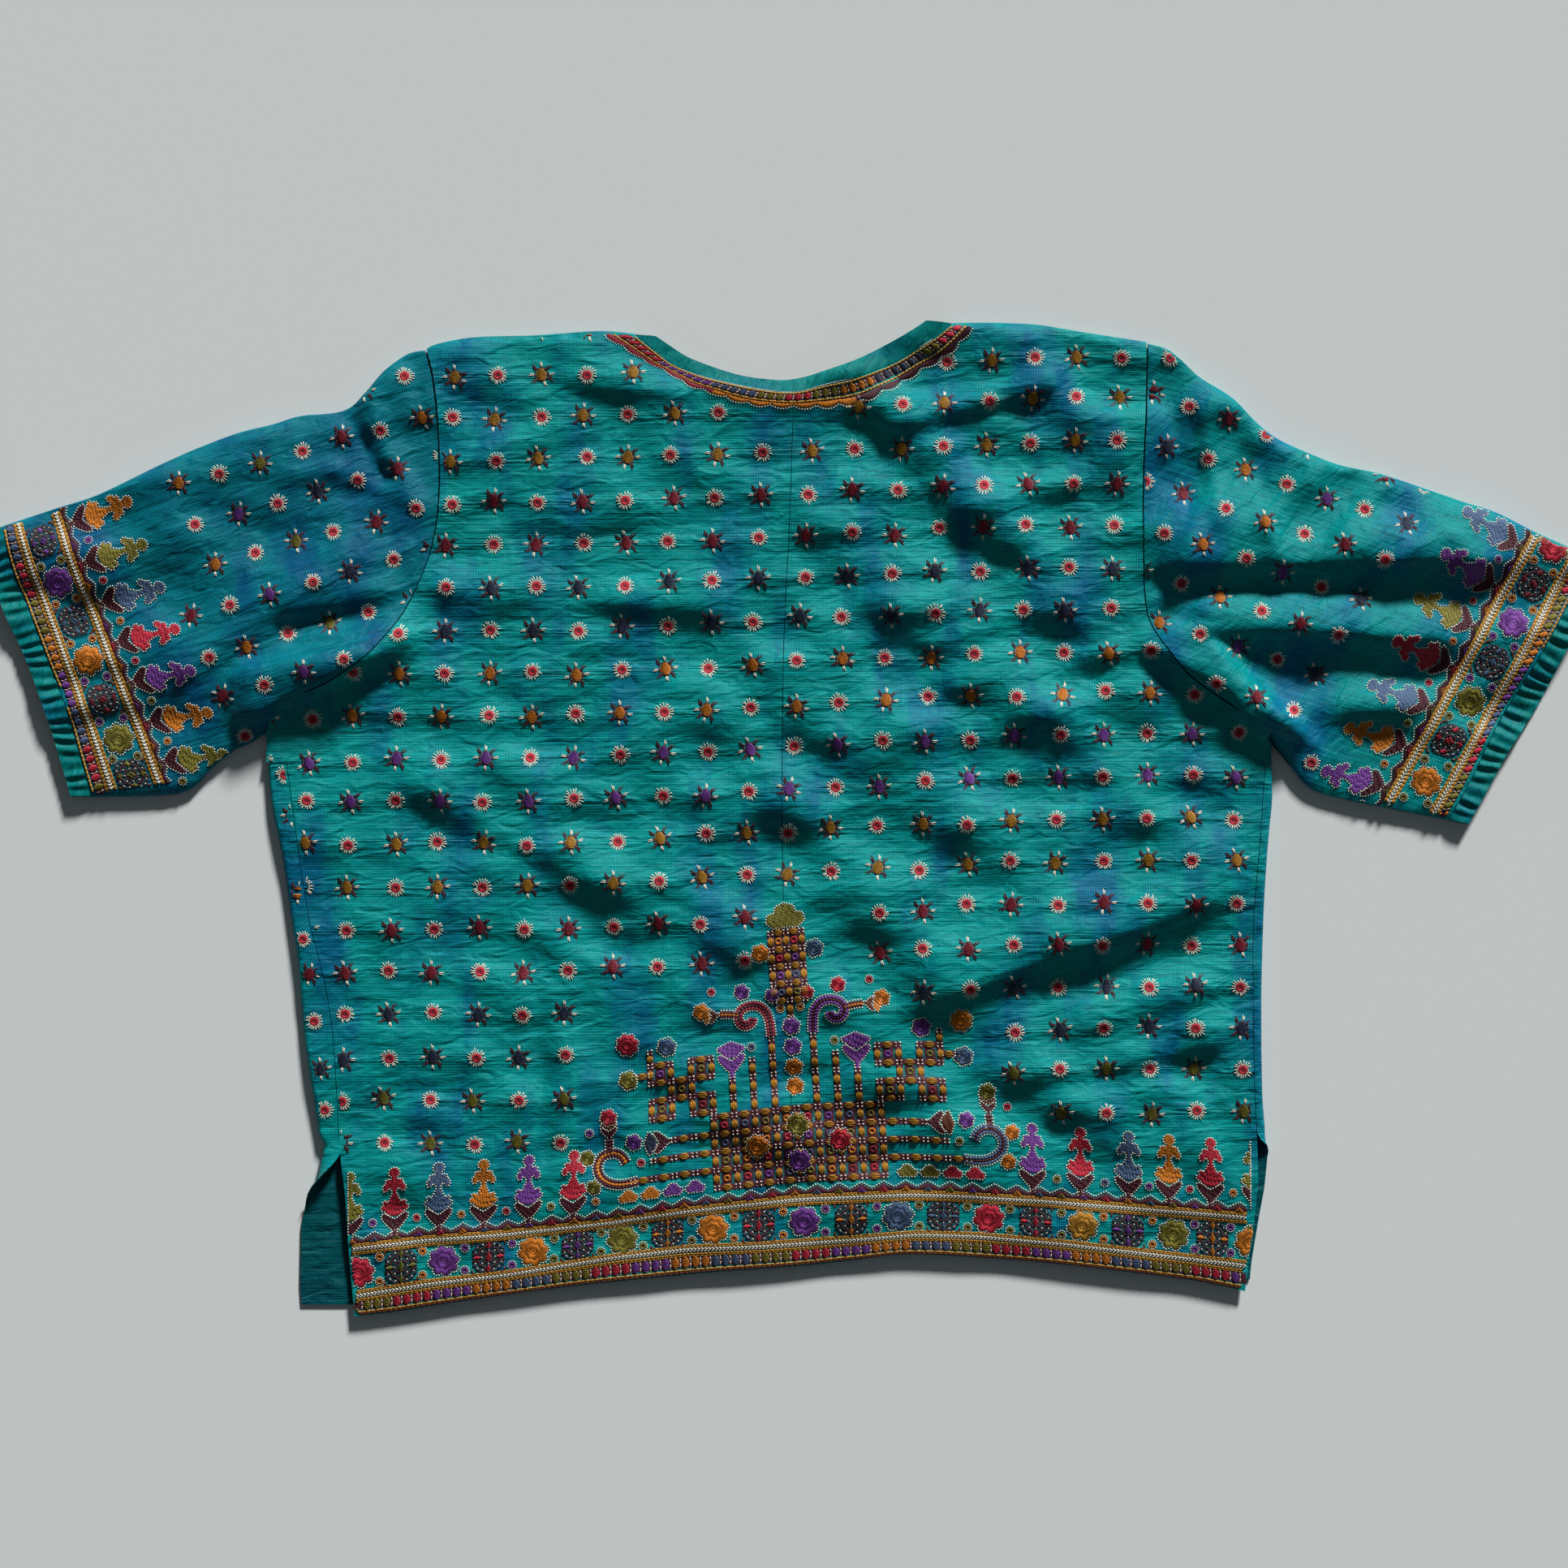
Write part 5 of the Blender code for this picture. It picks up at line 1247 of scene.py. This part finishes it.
def small_ring(bag, centre, shade, radius=1.9):
    """A coloured eyelet ring in a white dotted outline."""
    angles = even_turns(14)
    sew(bag, shade, *spokes(centre, angles, 0.35 * radius, radius), width=0.9, height=0.65)
    sew(bag, "maroon", *spokes(centre, angles[::3], 0.0, 0.42 * radius), width=0.6, height=0.4)
    dotted(bag, "white", closed_loop(centre + ways_at(angles) * (radius + 0.5)), spacing=1.2, width=0.65)


CORD_REACH = 1.75
CORD_PITCH = 1.95


def cord(bag, plan_of, start, end, across):
    """A couched cord along a strip: a white braid between two gold lines."""
    along = np.arange(start, end, CORD_PITCH)
    whole = np.linspace(start, end, 200)
    for side in (-1, 1):
        sew(bag, "white", plan_of(along + side * 0.3, across - side * 0.25),
            plan_of(along - 2.1, across + side * 1.25), width=0.95, height=1.1)
        for shift, shade in ((0.0, "gold"), (0.75, "mustard")):
            line = plan_of(whole, across + side * (CORD_REACH + shift))
            run_line(bag, shade, line, step=2.4, width=0.95, height=0.8 - 0.2 * shift)


def bead_row(bag, plan_of, start, end, low, high, shades, pitch=5.4):
    """Satin beads between white ticks on a dark ground, in groups of one colour."""
    ground = np.arange(start, end, 0.8)
    sew(bag, "maroon", plan_of(ground, low), plan_of(ground, high), width=1.1, height=0.22)
    middle, half = (low + high) / 2, (high - low) / 2 - 0.4
    heights = np.linspace(-0.86, 0.86, 7) * half
    reach = 0.40 * pitch * (1 - (np.abs(heights) / half) ** 2.2) + 0.4
    for index, along in enumerate(np.arange(start + pitch / 2, end - pitch / 3, pitch)):
        sew(bag, shades[index % len(shades)], plan_of(along - reach, middle + heights),
            plan_of(along + reach, middle + heights), width=0.95, height=0.95)
        tick = [plan_of(along + pitch / 2 + shift, middle + rise)
                for shift, rise in ((-0.3, -half), (0.2, 0), (-0.3, half))]
        sew(bag, "white", tick[:-1], tick[1:], width=0.55, height=0.7)


BLOCK_GROUND = [(-8.8, -4.6), (-4.6, -8.8), (4.6, -8.8), (8.8, -4.6), (8.8, 4.6), (4.6, 8.8), (-4.6, 8.8),
                (-8.8, 4.6)]
BLOCK_BARS = [
    ("maroon", [(1.9, 8.8), (1.9, 5.0), (4.8, 4.8), (5.0, 1.9), (8.8, 1.9)]),
    ("dark_slate", [(4.1, 8.6), (4.3, 6.6), (6.6, 6.6), (6.6, 4.3), (8.6, 4.1)]),
    ("maroon", [(0.6, 2.6), (2.6, 2.4), (2.6, 0.6)]),
    ("brown", [(6.4, 8.8), (8.8, 8.6), (8.8, 6.4)]),
]
BLOCK_SEEDS = np.array([(3.3, 3.3), (3.1, 7.0), (7.0, 3.1), (5.9, 5.7), (0.0, 3.6), (3.6, 0.0)])
BLOCK_LOZENGE = [(0, 2.5), (1.7, 0), (0, -2.5), (-1.7, 0)]
LOZENGES = [((0, 0), 0, 1.1), ((0, 6.3), 0, 0.85), ((0, -6.3), 0, 0.85), ((6.3, 0), np.pi / 2, 0.85),
            ((-6.3, 0), np.pi / 2, 0.85)]
SEED_REACH = np.array([0.3, 0.45])


def stepped_block(bag, plan_of, along, across, accent):
    """A dark block with four like quarters: stepped bars, coloured lozenges and white seeds."""
    ground = drawn(plan_of, along, across, BLOCK_GROUND)
    fill(bag, "dark_teal", ground, pitch=0.95, width=1.1, longest=4.2, height=0.25)
    for way in ((-1, -1), (-1, 1), (1, -1), (1, 1)):
        for shade, points in BLOCK_BARS:
            bar = drawn(plan_of, along, across, np.array(points) * way)
            run_line(bag, shade, bar, step=2.0, width=1.15, height=0.6)
        seeds = BLOCK_SEEDS * way
        sew(bag, "white", drawn(plan_of, along, across, seeds - SEED_REACH),
            drawn(plan_of, along, across, seeds + SEED_REACH), width=0.8, height=0.7)
    for (right, up), turn, size in LOZENGES:
        lozenge = drawn(plan_of, along + right, across + up, BLOCK_LOZENGE, turn, size)
        fill(bag, accent, lozenge, angle=turn, height=0.85)


def zigzag(bag, plan_of, start, end, across, shades, period=12.0, rise=4.6):
    """A dark wave with a small coloured triangle in each tooth and white seeds over it."""
    along = np.arange(start, end, 0.75)
    tooth = rise * (0.30 + 0.70 * np.abs(((along - start) / period) % 1 - 0.5) * 2)
    sew(bag, "maroon", plan_of(along, across), plan_of(along, across + tooth), width=1.05, height=0.6)
    dotted(bag, "white", plan_of(along, across + tooth + 0.7))
    for index, middle in enumerate(np.arange(start, end, period)):
        triangle = drawn(plan_of, middle, across + 0.2, [(-2.6, 0.0), (2.6, 0.0), (0, 2.4)])
        fill(bag, shades[index % len(shades)], triangle, height=1.0)


def tree(bag, plan_of, along, across, shade, size=1.0):
    """A standing plant: a dark goblet, a tulip, a curled cross piece and a knob at the top."""
    for half, colour, angle in ((GOBLET, "maroon", 0.5), (TULIP, shade, 1.2), (ANCHOR, shade, 0.2),
                                (KNOB, shade, 0.2)):
        fill(bag, colour, drawn(plan_of, along, across, both_sides(half), size=size), angle=angle)
    for half in (GOBLET, TULIP[1:] + ANCHOR[1:] + KNOB[1:]):
        outline = both_sides(np.array(half) + (0.45, 0))
        dotted(bag, "white", drawn(plan_of, along, across, outline, size=size))


RING_CYCLE = ["slate", "orange", "orange", "purple", "crimson", "olive", "crimson", "olive"]


def flower_band(bag, plan_of, level, flowers, blocks, ring_reach, ring_levels):
    """Flowers with four small rings round each, and the dark blocks that stand between them."""
    for index, (along, shade) in enumerate(flowers):
        flower(bag, plan_of(along, level), shade, radius=8.6, turn=0.2)
        for shift in (-1, 1):
            for across in ring_levels:
                place = plan_of(along + shift * ring_reach, across)
                small_ring(bag, place, RING_CYCLE[(2 * index + shift) % 8])
    for along, accent in blocks:
        stepped_block(bag, plan_of, along, level, accent)


HEM_START = -241
HEM_LENGTH = 488
HEM_LEVELS = [0, 10.2, 33.0]


def hem_along(pixel):
    """How far along the hem strip a column of the photo is."""
    return (pixel - PHOTO_MIDDLE_X) * MM_A_PIXEL - HEM_START


HEM_FLOWERS = [(443, "crimson"), (548, "purple"), (658, "orange"), (768, "olive"), (880, "orange"),
               (992, "purple"), (1107, "slate"), (1218, "crimson"), (1333, "gold"), (1445, "olive"),
               (1541, "orange")]
HEM_BLOCKS = ["olive", "crimson", "purple", "orange", "crimson", "orange", "slate", "crimson", "purple",
              "orange"]
HEM_TREES = [(432, "olive"), (487, "crimson"), (541, "slate"), (596, "orange"), (651, "purple"),
             (706, "crimson"), (1272, "purple"), (1331, "crimson"), (1390, "slate"), (1439, "orange"),
             (1490, "crimson"), (1545, "olive")]
HEM_RINGS = [460, 514, 569, 624, 679, 734, 1302, 1361, 1415, 1465, 1518]
hem_x = np.linspace(HEM_START, HEM_START + HEM_LENGTH, 60)
hem_lines = [np.column_stack([hem_x, height_at(line, hem_x)]) for line in (BACK_HEM, LOWER_CORD, UPPER_CORD)]
hem_strip = strip(hem_lines, HEM_LEVELS, HEM_LENGTH)
hem_whole = np.linspace(0, HEM_LENGTH, 240)
hem_ends = (2, HEM_LENGTH - 2)
hem_bag = {}
run_line(hem_bag, "brown", hem_strip(hem_whole, 1.0), step=3.0, width=1.5, height=0.7)
run_line(hem_bag, "mustard", hem_strip(hem_whole, 1.9), step=2.4, width=1.0, height=0.7)
bead_row(hem_bag, hem_strip, *hem_ends, low=2.5, high=7.8, shades=np.repeat(BEAD_CYCLE, 4).tolist())
for level in HEM_LEVELS[1:]:
    cord(hem_bag, hem_strip, *hem_ends, level)
hem_blocks = [(hem_along((pixel + next_pixel) / 2), accent)
              for (pixel, _), (next_pixel, _), accent in zip(HEM_FLOWERS, HEM_FLOWERS[1:], HEM_BLOCKS)]
hem_flowers = [(hem_along(pixel), shade) for pixel, shade in HEM_FLOWERS]
flower_band(hem_bag, hem_strip, 21.7, hem_flowers, hem_blocks, ring_reach=11.4, ring_levels=(15.6, 27.8))
zigzag(hem_bag, hem_strip, *hem_ends, across=36.0, shades=["orange", "slate", "olive", "purple", "crimson"])
for pixel, shade in HEM_TREES:
    tree(hem_bag, hem_strip, hem_along(pixel), across=37.5, shade=shade)
for index, pixel in enumerate(HEM_RINGS):
    shade = RING_CYCLE[(3 * index + 3) % 8]
    small_ring(hem_bag, hem_strip(hem_along(pixel), 46.0), shade, radius=1.7)
lay_threads("hem_border_threads", trimmed(hem_bag, back_loop, margin=0.3))

# Cuff borders: the same bands in the same floss, round each sleeve above its puckered strip.
# Their plants point up the arm, and both ends of each band run on under the flattened sleeve.

CUFF_LENGTH = 158
CUFF_LEVELS = [0, 9.6, 35.0]
TREE_FIRST = 11
TREE_STEP = 22.6
BETWEEN_TREES = 22.3
CUFF_BANDS = {
    "left": dict(
        lines=[LEFT_CUFF_LINE[::-1], [(-419.8, 159.9), (-409, 127), (-395, 90), (-380.5, 50), (-368.8, 16)],
               [(-400.6, 167.9), (-388, 133), (-374, 98), (-358, 58), (-343, 19)]],
        trees=["orange", "olive", "slate", "crimson", "purple", "orange", "olive"],
        flowers=[(38.5, "purple"), (84, "orange"), (130, "olive")],
        blocks=[(14.5, "purple"), (61, "slate"), (107, "wine"), (151, "olive")],
        beads=["slate", "crimson", "olive", "orange", "purple"]),
    "right": dict(
        lines=[RIGHT_CUFF_LINE[::-1], [(421, 141), (401, 103), (380, 64), (359, 26), (344, -1)],
               [(402, 154.5), (381, 117), (359, 76), (338, 38), (319.5, 5)]],
        trees=["slate", "purple", "olive", "crimson", "slate", "orange", "purple"],
        flowers=[(1, "crimson"), (45, "purple"), (91, "olive"), (138, "orange")],
        blocks=[(22, "wine"), (68, "slate"), (114, "crimson")],
        beads=["crimson", "olive", "orange", "purple", "slate"]),
}
for side, band in CUFF_BANDS.items():
    cuff_strip = strip(band["lines"], CUFF_LEVELS, CUFF_LENGTH)
    cuff_bag = {}
    edge_line = cuff_strip(np.linspace(0, CUFF_LENGTH, 90), 0.9)
    run_line(cuff_bag, "gold", edge_line, step=2.4, width=1.2, height=0.7)
    bead_row(cuff_bag, cuff_strip, 0, CUFF_LENGTH, low=1.8, high=6.6,
             shades=np.repeat(band["beads"], 4).tolist())
    for level in CUFF_LEVELS[1:]:
        cord(cuff_bag, cuff_strip, 0, CUFF_LENGTH, level)
    flower_band(cuff_bag, cuff_strip, 22.3, band["flowers"], band["blocks"], ring_reach=11.0,
                ring_levels=(15.4, 29.2))
    zigzag(cuff_bag, cuff_strip, 0, CUFF_LENGTH, across=38.0, shades=["orange", "olive", "purple", "crimson"],
           period=11.4, rise=4.2)
    for index, shade in enumerate(band["trees"]):
        tree(cuff_bag, cuff_strip, TREE_FIRST + TREE_STEP * index, 38.6, shade, size=1.02)
        small_ring(cuff_bag, cuff_strip(BETWEEN_TREES + TREE_STEP * index, 47.5),
                   RING_CYCLE[(3 * index + 3) % 8], radius=1.7)
    lay_threads("cuff_border_threads_" + side, trimmed(cuff_bag, sleeve_loops[side], margin=0.8))

# Neck trim: one row of satin beads between gold lines, with a scalloped edge outlined in white.
# It follows the neck seam, and its colours change every few beads.

TRIM_EDGE = [(-105.1, 262.4), (-95.4, 256.8), (-81.9, 248.4), (-70.1, 242.5), (-58.3, 234.9),
             (-46.6, 230.7), (-34.8, 226.5), (-21.3, 223.4), (0.5, 221.9), (23.2, 222.5), (37.5, 224.8),
             (46.8, 229), (59.4, 235.7), (69.5, 242.5), (83, 250), (93.1, 260), (97.5, 266)]
TRIM_BEADS = [("crimson", 5), ("purple", 6), ("slate", 5), ("olive", 3), ("crimson", 3), ("olive", 3),
              ("orange", 4), ("dark_slate", 6), ("olive", 2), ("crimson", 3)]
TRIM_LENGTH = 214
neck_strip = strip([BACK_NECK, TRIM_EDGE], [0, 8.6], TRIM_LENGTH)
neck_bag = {}
bead_row(neck_bag, neck_strip, 0, TRIM_LENGTH, low=1.1, high=4.6,
         shades=[shade for shade, count in TRIM_BEADS for _ in range(count)], pitch=5.35)
for across, width in ((0.8, 1.0), (5.2, 1.1)):
    gold_line = neck_strip(np.linspace(0, TRIM_LENGTH, 160), across)
    run_line(neck_bag, "gold", gold_line, step=2.2, width=width, height=0.8)
scallops = np.arange(0, TRIM_LENGTH, 0.8)
scallop_reach = 6.9 + 1.5 * np.abs(np.sin(np.pi * scallops / 12))
for low, high, shade in ((0, 0.3, "wine"), (0.3, 0.66, "orange"), (0.66, 1.01, "maroon")):
    part = (scallops >= low * TRIM_LENGTH) & (scallops < high * TRIM_LENGTH)
    sew(neck_bag, shade, neck_strip(scallops[part], 5.6), neck_strip(scallops[part], scallop_reach[part]),
        width=1.1, height=0.6)
dotted(neck_bag, "white", neck_strip(scallops, scallop_reach + 0.5))
lay_threads("neck_trim_threads", trimmed(neck_bag, back_loop, margin=0.4))

# Stepped panel above the hem: the same floss in a plain counted layout, alike on both sides of the middle.
# Its bars are chains of gold ovals on a dark ground with white knots where they cross. Flowers, tulips
# and curled hooks end the bars, in colours that differ from side to side.

CELL = np.array([11.4, 9.7])
PANEL_ALONG = 245.5
PANEL_ACROSS = 44.2
PANEL_LEAN = 0.06
CROWN = [(0, -2.4), (3.6, -2.6), (5.5, -0.8), (5.0, 1.3), (3.1, 1.7), (2.5, 3.4), (0, 4.3)]
HOOK = [(0, -1), (0.3, 5), (1.5, 11), (5, 15.6), (10, 17), (15, 15.8), (17.6, 12.5), (17, 8.5), (13.8, 6.4),
        (10.4, 7.6), (9.6, 10.4)]
LOW_HOOK = [(-3, 0), (5, -0.6), (12, 0.8), (17.5, 5), (19, 11), (16, 16), (10, 17), (5.5, 14.5),
            (3.5, 10.5)]
# Each flower's place along and up, its radius and its colour
PANEL_FLOWERS = [
    (0, 83.4, 4.8, "purple"), (0, 72.2, 4.8, "purple"), (0, 61.1, 4.8, "orange"), (0, 50.6, 4.8, "orange"),
    (0, 30.0, 6.3, "olive"), (0, 10.2, 6.5, "purple"), (-22.5, 20.5, 6.3, "orange"),
    (22.5, 20.5, 6.3, "crimson"),
    (-70, 80, 5.2, "slate"), (70, 80, 5.2, "purple"), (-92, 84.5, 6.2, "crimson"), (92, 84.5, 6.2, "orange"),
    (-92, 65, 5.2, "olive"), (92, 65, 5.2, "slate"), (-90, 31, 4.4, "purple"), (91, 31, 4.4, "purple"),
    (-14.8, 124.5, 5.0, "orange"), (15.0, 124.5, 5.0, "slate"),
    (-26.5, 104.5, 4.2, "purple"), (26.5, 104.5, 4.2, "crimson"), (-9.6, 101, 3.8, "purple"),
    (9.6, 101, 3.8, "crimson"), (-49.6, 96.2, 4.6, "orange"), (49.6, 96.2, 4.6, "orange"),
    (-103.6, 46.5, 4.6, "crimson"), (103.6, 46.5, 4.6, "olive"), (-115.5, 25.5, 4.2, "olive"),
    (115.5, 25.5, 4.2, "orange"), (-112.5, 9.5, 4.0, "olive"), (112.5, 9.5, 4.2, "orange"),
]
PANEL_RINGS = [
    (-22.8, 74.4, "slate"), (22.8, 74.4, "olive"), (-86.5, 19.4, "crimson"), (86.5, 19.4, "olive"),
    (-43.6, 106.5, "crimson"), (43.6, 106.5, "crimson"), (-5.4, 93.4, "orange"), (5.4, 93.4, "orange"),
    (-114, 39, "purple"), (114, 39, "crimson"),
]
ON_LATTICE = 0.9
CELL_SHADES = ["olive", "crimson", "slate", "orange", "purple", "olive", "wine", "slate", "orange",
               "crimson"]


def panel_at(points, turn=0.0, size=1.0, at=(0, 0), side=1):
    """Plan points of a drawing on the panel, turned, sized, moved, and set to its right or left."""
    spun = turned(size * np.asarray(points, float), turn) + np.array(at)
    along, across = spun[..., 0], spun[..., 1]
    return hem_strip(PANEL_ALONG + side * along - PANEL_LEAN * across, PANEL_ACROSS + across)


LINK_WIDTH = 4.4
OVAL_REACH = 3.3


def chain_link(bag, start, end):
    """One link of a bar: a dark ground with a gold satin oval along it."""
    start, end = np.array(start, float), np.array(end, float)
    length = np.linalg.norm(end - start)
    way = (end - start) / length
    beside = np.array([-way[1], way[0]])
    steps = np.linspace(0, length, max(int(length / 0.85), 3))[:, None]
    sew(bag, "maroon", panel_at(start + way * steps - beside * LINK_WIDTH / 2),
        panel_at(start + way * steps + beside * LINK_WIDTH / 2), width=1.15, height=0.25)
    for offset in (-1.2, -0.4, 0.4, 1.2):
        reach = min(0.33 * length, OVAL_REACH) * (1 - (offset / 2.0) ** 2)
        middle = start + way * length / 2 + beside * offset
        sew(bag, "mustard", panel_at(middle - way * reach), panel_at(middle + way * reach), width=1.0,
            height=1.0)


def white_knots(bag, at):
    """Four white knots round a crossing of two bars."""
    for shift in ((-1.15, 0.9), (1.15, 0.9), (1.15, -0.9), (-1.15, -0.9)):
        centre = np.array(at, float) + shift
        lean = stitch_draws.uniform(-0.5, 0.5, 2)
        sew(bag, "white", panel_at(centre - lean), panel_at(centre + lean + (0.02, 0.02)), width=1.25,
            height=1.0)


def lattice(bag, cells, cell=CELL, at=(0, 0), extra=()):
    """Bars round some cells of a grid, with a coloured ring on a dark ground in each cell."""
    links = {((start_x, start_y), (end_x, end_y)) for start_x, start_y, end_x, end_y in extra}
    for column, row in sorted(cells):
        corners = [(column, row), (column + 1, row), (column + 1, row + 1), (column, row + 1)]
        links |= {(corners[0], corners[1]), (corners[3], corners[2]), (corners[0], corners[3]),
                  (corners[1], corners[2])}
        middle = (np.array([column, row]) + 0.5) * cell + at
        ground = np.array([(-0.3, -0.3), (0.3, -0.3), (0.3, 0.3), (-0.3, 0.3)]) * cell + middle
        fill(bag, "maroon", panel_at(ground), pitch=0.8, width=1.0, longest=8, height=0.2)
        shade = CELL_SHADES[(3 * column + 7 * row) % len(CELL_SHADES)]
        inner, outer = [panel_at(ways_at(even_turns(12)) * reach + middle) for reach in (0.7, 2.1)]
        sew(bag, shade, inner, outer, width=0.95, height=0.8)
    for start, end in sorted(links):
        chain_link(bag, np.array(start) * cell + at, np.array(end) * cell + at)
    for crossing in sorted({end for link in links for end in link}):
        white_knots(bag, np.array(crossing) * cell + at)


def curled_band(bag, path, shades, side, at, spacing=1.45):
    """A stem of three rows of backstitch in a white outline, along a smooth path."""
    middle = smooth_line(path, 60)
    for offset, shade in zip((-spacing, 0, spacing), shades):
        row = panel_at(moved_along_normal(middle, offset), at=at, side=side)
        run_line(bag, shade, row, step=1.9, width=1.6, height=0.75)
    for offset in (-spacing - 1.25, spacing + 1.25):
        dotted(bag, "white", panel_at(moved_along_normal(middle, offset), at=at, side=side))


def tulip(bag, at, turn, size, shades, side):
    """A goblet with a satin flower in it."""
    for half, shade in ((GOBLET, shades[0]), (TULIP[:6] + [(0, 19)], shades[1])):
        fill(bag, shade, panel_at(both_sides(half), turn, size, at, side), angle=0.6)
        dotted(bag, "white", panel_at(both_sides(np.array(half) + (0.4, 0)), turn, size, at, side))


def bar_across(column, next_column, row):
    """The ends of a bar between two columns of the grid, the left one first."""
    return (min(column, next_column), row, max(column, next_column), row)


panel_bag = {}
panel_bars = []
for mirror in (-1, 1):
    panel_bars += [(mirror * column, row, mirror * column, row + 1)
                   for column, top in ((1, 8), (2, 7), (3, 6)) for row in range(4, top)]
    panel_bars += [bar_across(mirror * column, mirror * (column + 1), row)
                   for row, last in ((1, 8), (2, 7), (3, 6)) for column in range(4, last)]
lattice(panel_bag, [(column, row) for column in range(-4, 4) for row in range(4)], extra=panel_bars)
for mirror in (-1, 1):
    lattice(panel_bag, [(0, 0), (-1, 1), (1, 1), (-1, -1), (1, -1)],
            at=(mirror * 62.5 - CELL[0] / 2, 56.3 - CELL[1] / 2),
            extra=[(mirror * 1.5 + 0.5, 2, mirror * 1.5 + 0.5, 2.8),
                   bar_across(mirror * 1.5 + 0.5, mirror * 2.3 + 0.5, 1.5)])
lattice(panel_bag, [(column, row) for column in (-1, 0) for row in range(4)], cell=np.array([8.6, 9.3]),
        at=(0, 97.5), extra=[(0, -1, 0, 0)])
HOOK_AT = (11.4, 79.8)
LOW_HOOK_AT = (91.2, 9.7)
HOOK_STEM = [(17.6, 12.4), (23, 13.6), (28, 14)]
LOW_HOOK_STEM = [(12.6, 17), (12.3, 25)]
for mirror, high, low, end_shade in (
    (-1, ("wine", "maroon", "wine"), ("maroon", "orange", "maroon"), "dark_slate"),
    (1, ("purple", "maroon", "purple"), ("slate", "maroon", "slate"), "brown"),
):
    curled_band(panel_bag, HOOK, high, mirror, HOOK_AT)
    curled_band(panel_bag, HOOK_STEM, ("maroon", "orange", "maroon"), mirror, HOOK_AT, spacing=0.9)
    tulip(panel_bag, (39, 94), -np.pi / 2 - 0.1, 0.55, ("brown", "orange"), mirror)
    curled_band(panel_bag, LOW_HOOK, low, mirror, LOW_HOOK_AT)
    curled_band(panel_bag, LOW_HOOK_STEM, ("maroon", "maroon", "maroon"), mirror, LOW_HOOK_AT, spacing=0.9)
    for at, turn, size, shades in (
        ((103.5, 33.5), 0.0, 0.6, ("maroon", "brown")),
        ((68.4, 29.1), -np.pi / 2, 0.85, ("maroon", end_shade)),
        ((34.2, 58.5), 0.0, 1.05, ("purple", "purple")),
    ):
        tulip(panel_bag, at, turn, size, shades, mirror)
for along, across, radius, shade in PANEL_FLOWERS:
    flower(panel_bag, panel_at((along, across)), shade, radius, petals=8 if radius > 6 else 6, turn=0.3,
           rise=ON_LATTICE if across < 40 and abs(along) < 30 else 0.0)
for along, across, shade in PANEL_RINGS:
    small_ring(panel_bag, panel_at((along, across)), shade, radius=1.8)
crown_line = both_sides(CROWN)
fill(panel_bag, "olive", panel_at(crown_line, size=1.9, at=(0, 142)), angle=0.2)
dotted(panel_bag, "white", closed_loop(panel_at(crown_line, size=2.0, at=(0, 142))))
for mirror, shades in ((-1, ("purple", "purple", "orange", "orange")),
                       (1, ("olive", "olive", "crimson", "crimson"))):
    for step, shade in enumerate(shades):
        place = (57.5 + 12.2 * step, 1.6)
        fill(panel_bag, shade, panel_at(crown_line, size=0.92, at=place, side=mirror), angle=0.2)
        dotted(panel_bag, "white", closed_loop(panel_at(crown_line, size=1.02, at=place, side=mirror)))
lay_threads("stepped_panel_threads", trimmed(panel_bag, back_loop))

# Table, light and camera: the blouse lies on a plain pale table, in daylight from a window past the neck.
# The camera looks straight down, and its frame cuts the ends of both cuffs as the photo does.

PHOTO_SPAN = 0.85
CAMERA_HEIGHT = 2.4
SENSOR = 36.0
VIEW_CENTRE = (-0.0058, 0.0186)
TABLE_REACH = 12.0
TABLE_LEVEL = -0.0006

floor_mesh = bpy.data.meshes.new("table_top")
floor_mesh.from_pydata([(TABLE_REACH * x, TABLE_REACH * y, TABLE_LEVEL)
                        for x, y in ((-1, -1), (1, -1), (1, 1), (-1, 1))], [], [(0, 1, 2, 3)])
table_paint = new_material("matt_pale_grey_board", {"Base Color": linear("#e3e8e9"), "Roughness": 0.9})[0]
floor_mesh.materials.append(table_paint)
placed("table_top", floor_mesh)

# The light that models the creases: a low window above the neck, a little to the right
WINDOW_STRENGTH = 4.75
WINDOW_WIDTH = 9
WINDOW_TILT = -66.5
WINDOW_TURN = -21
window = bpy.data.lights.new("window_light", "SUN")
window.energy = WINDOW_STRENGTH
window.angle = np.radians(WINDOW_WIDTH)
window.color = (1.0, 0.985, 0.96)
window_lamp = placed("window_light", window)
window_lamp.rotation_euler = (np.radians(WINDOW_TILT), 0, np.radians(WINDOW_TURN))

surroundings = bpy.data.worlds.new("soft_room")
surroundings.use_nodes = True
sky = surroundings.node_tree.nodes["Background"]
sky.inputs["Color"].default_value = (0.86, 0.95, 1.0, 1)
sky.inputs["Strength"].default_value = 0.07
bpy.context.scene.world = surroundings
bpy.context.scene.view_settings.view_transform = "Standard"

lens = bpy.data.cameras.new("overhead_camera")
lens.sensor_width = SENSOR
lens.lens = SENSOR * CAMERA_HEIGHT / PHOTO_SPAN
camera = placed("overhead_camera", lens)
camera.location = (*VIEW_CENTRE, CAMERA_HEIGHT)
bpy.context.scene.camera = camera
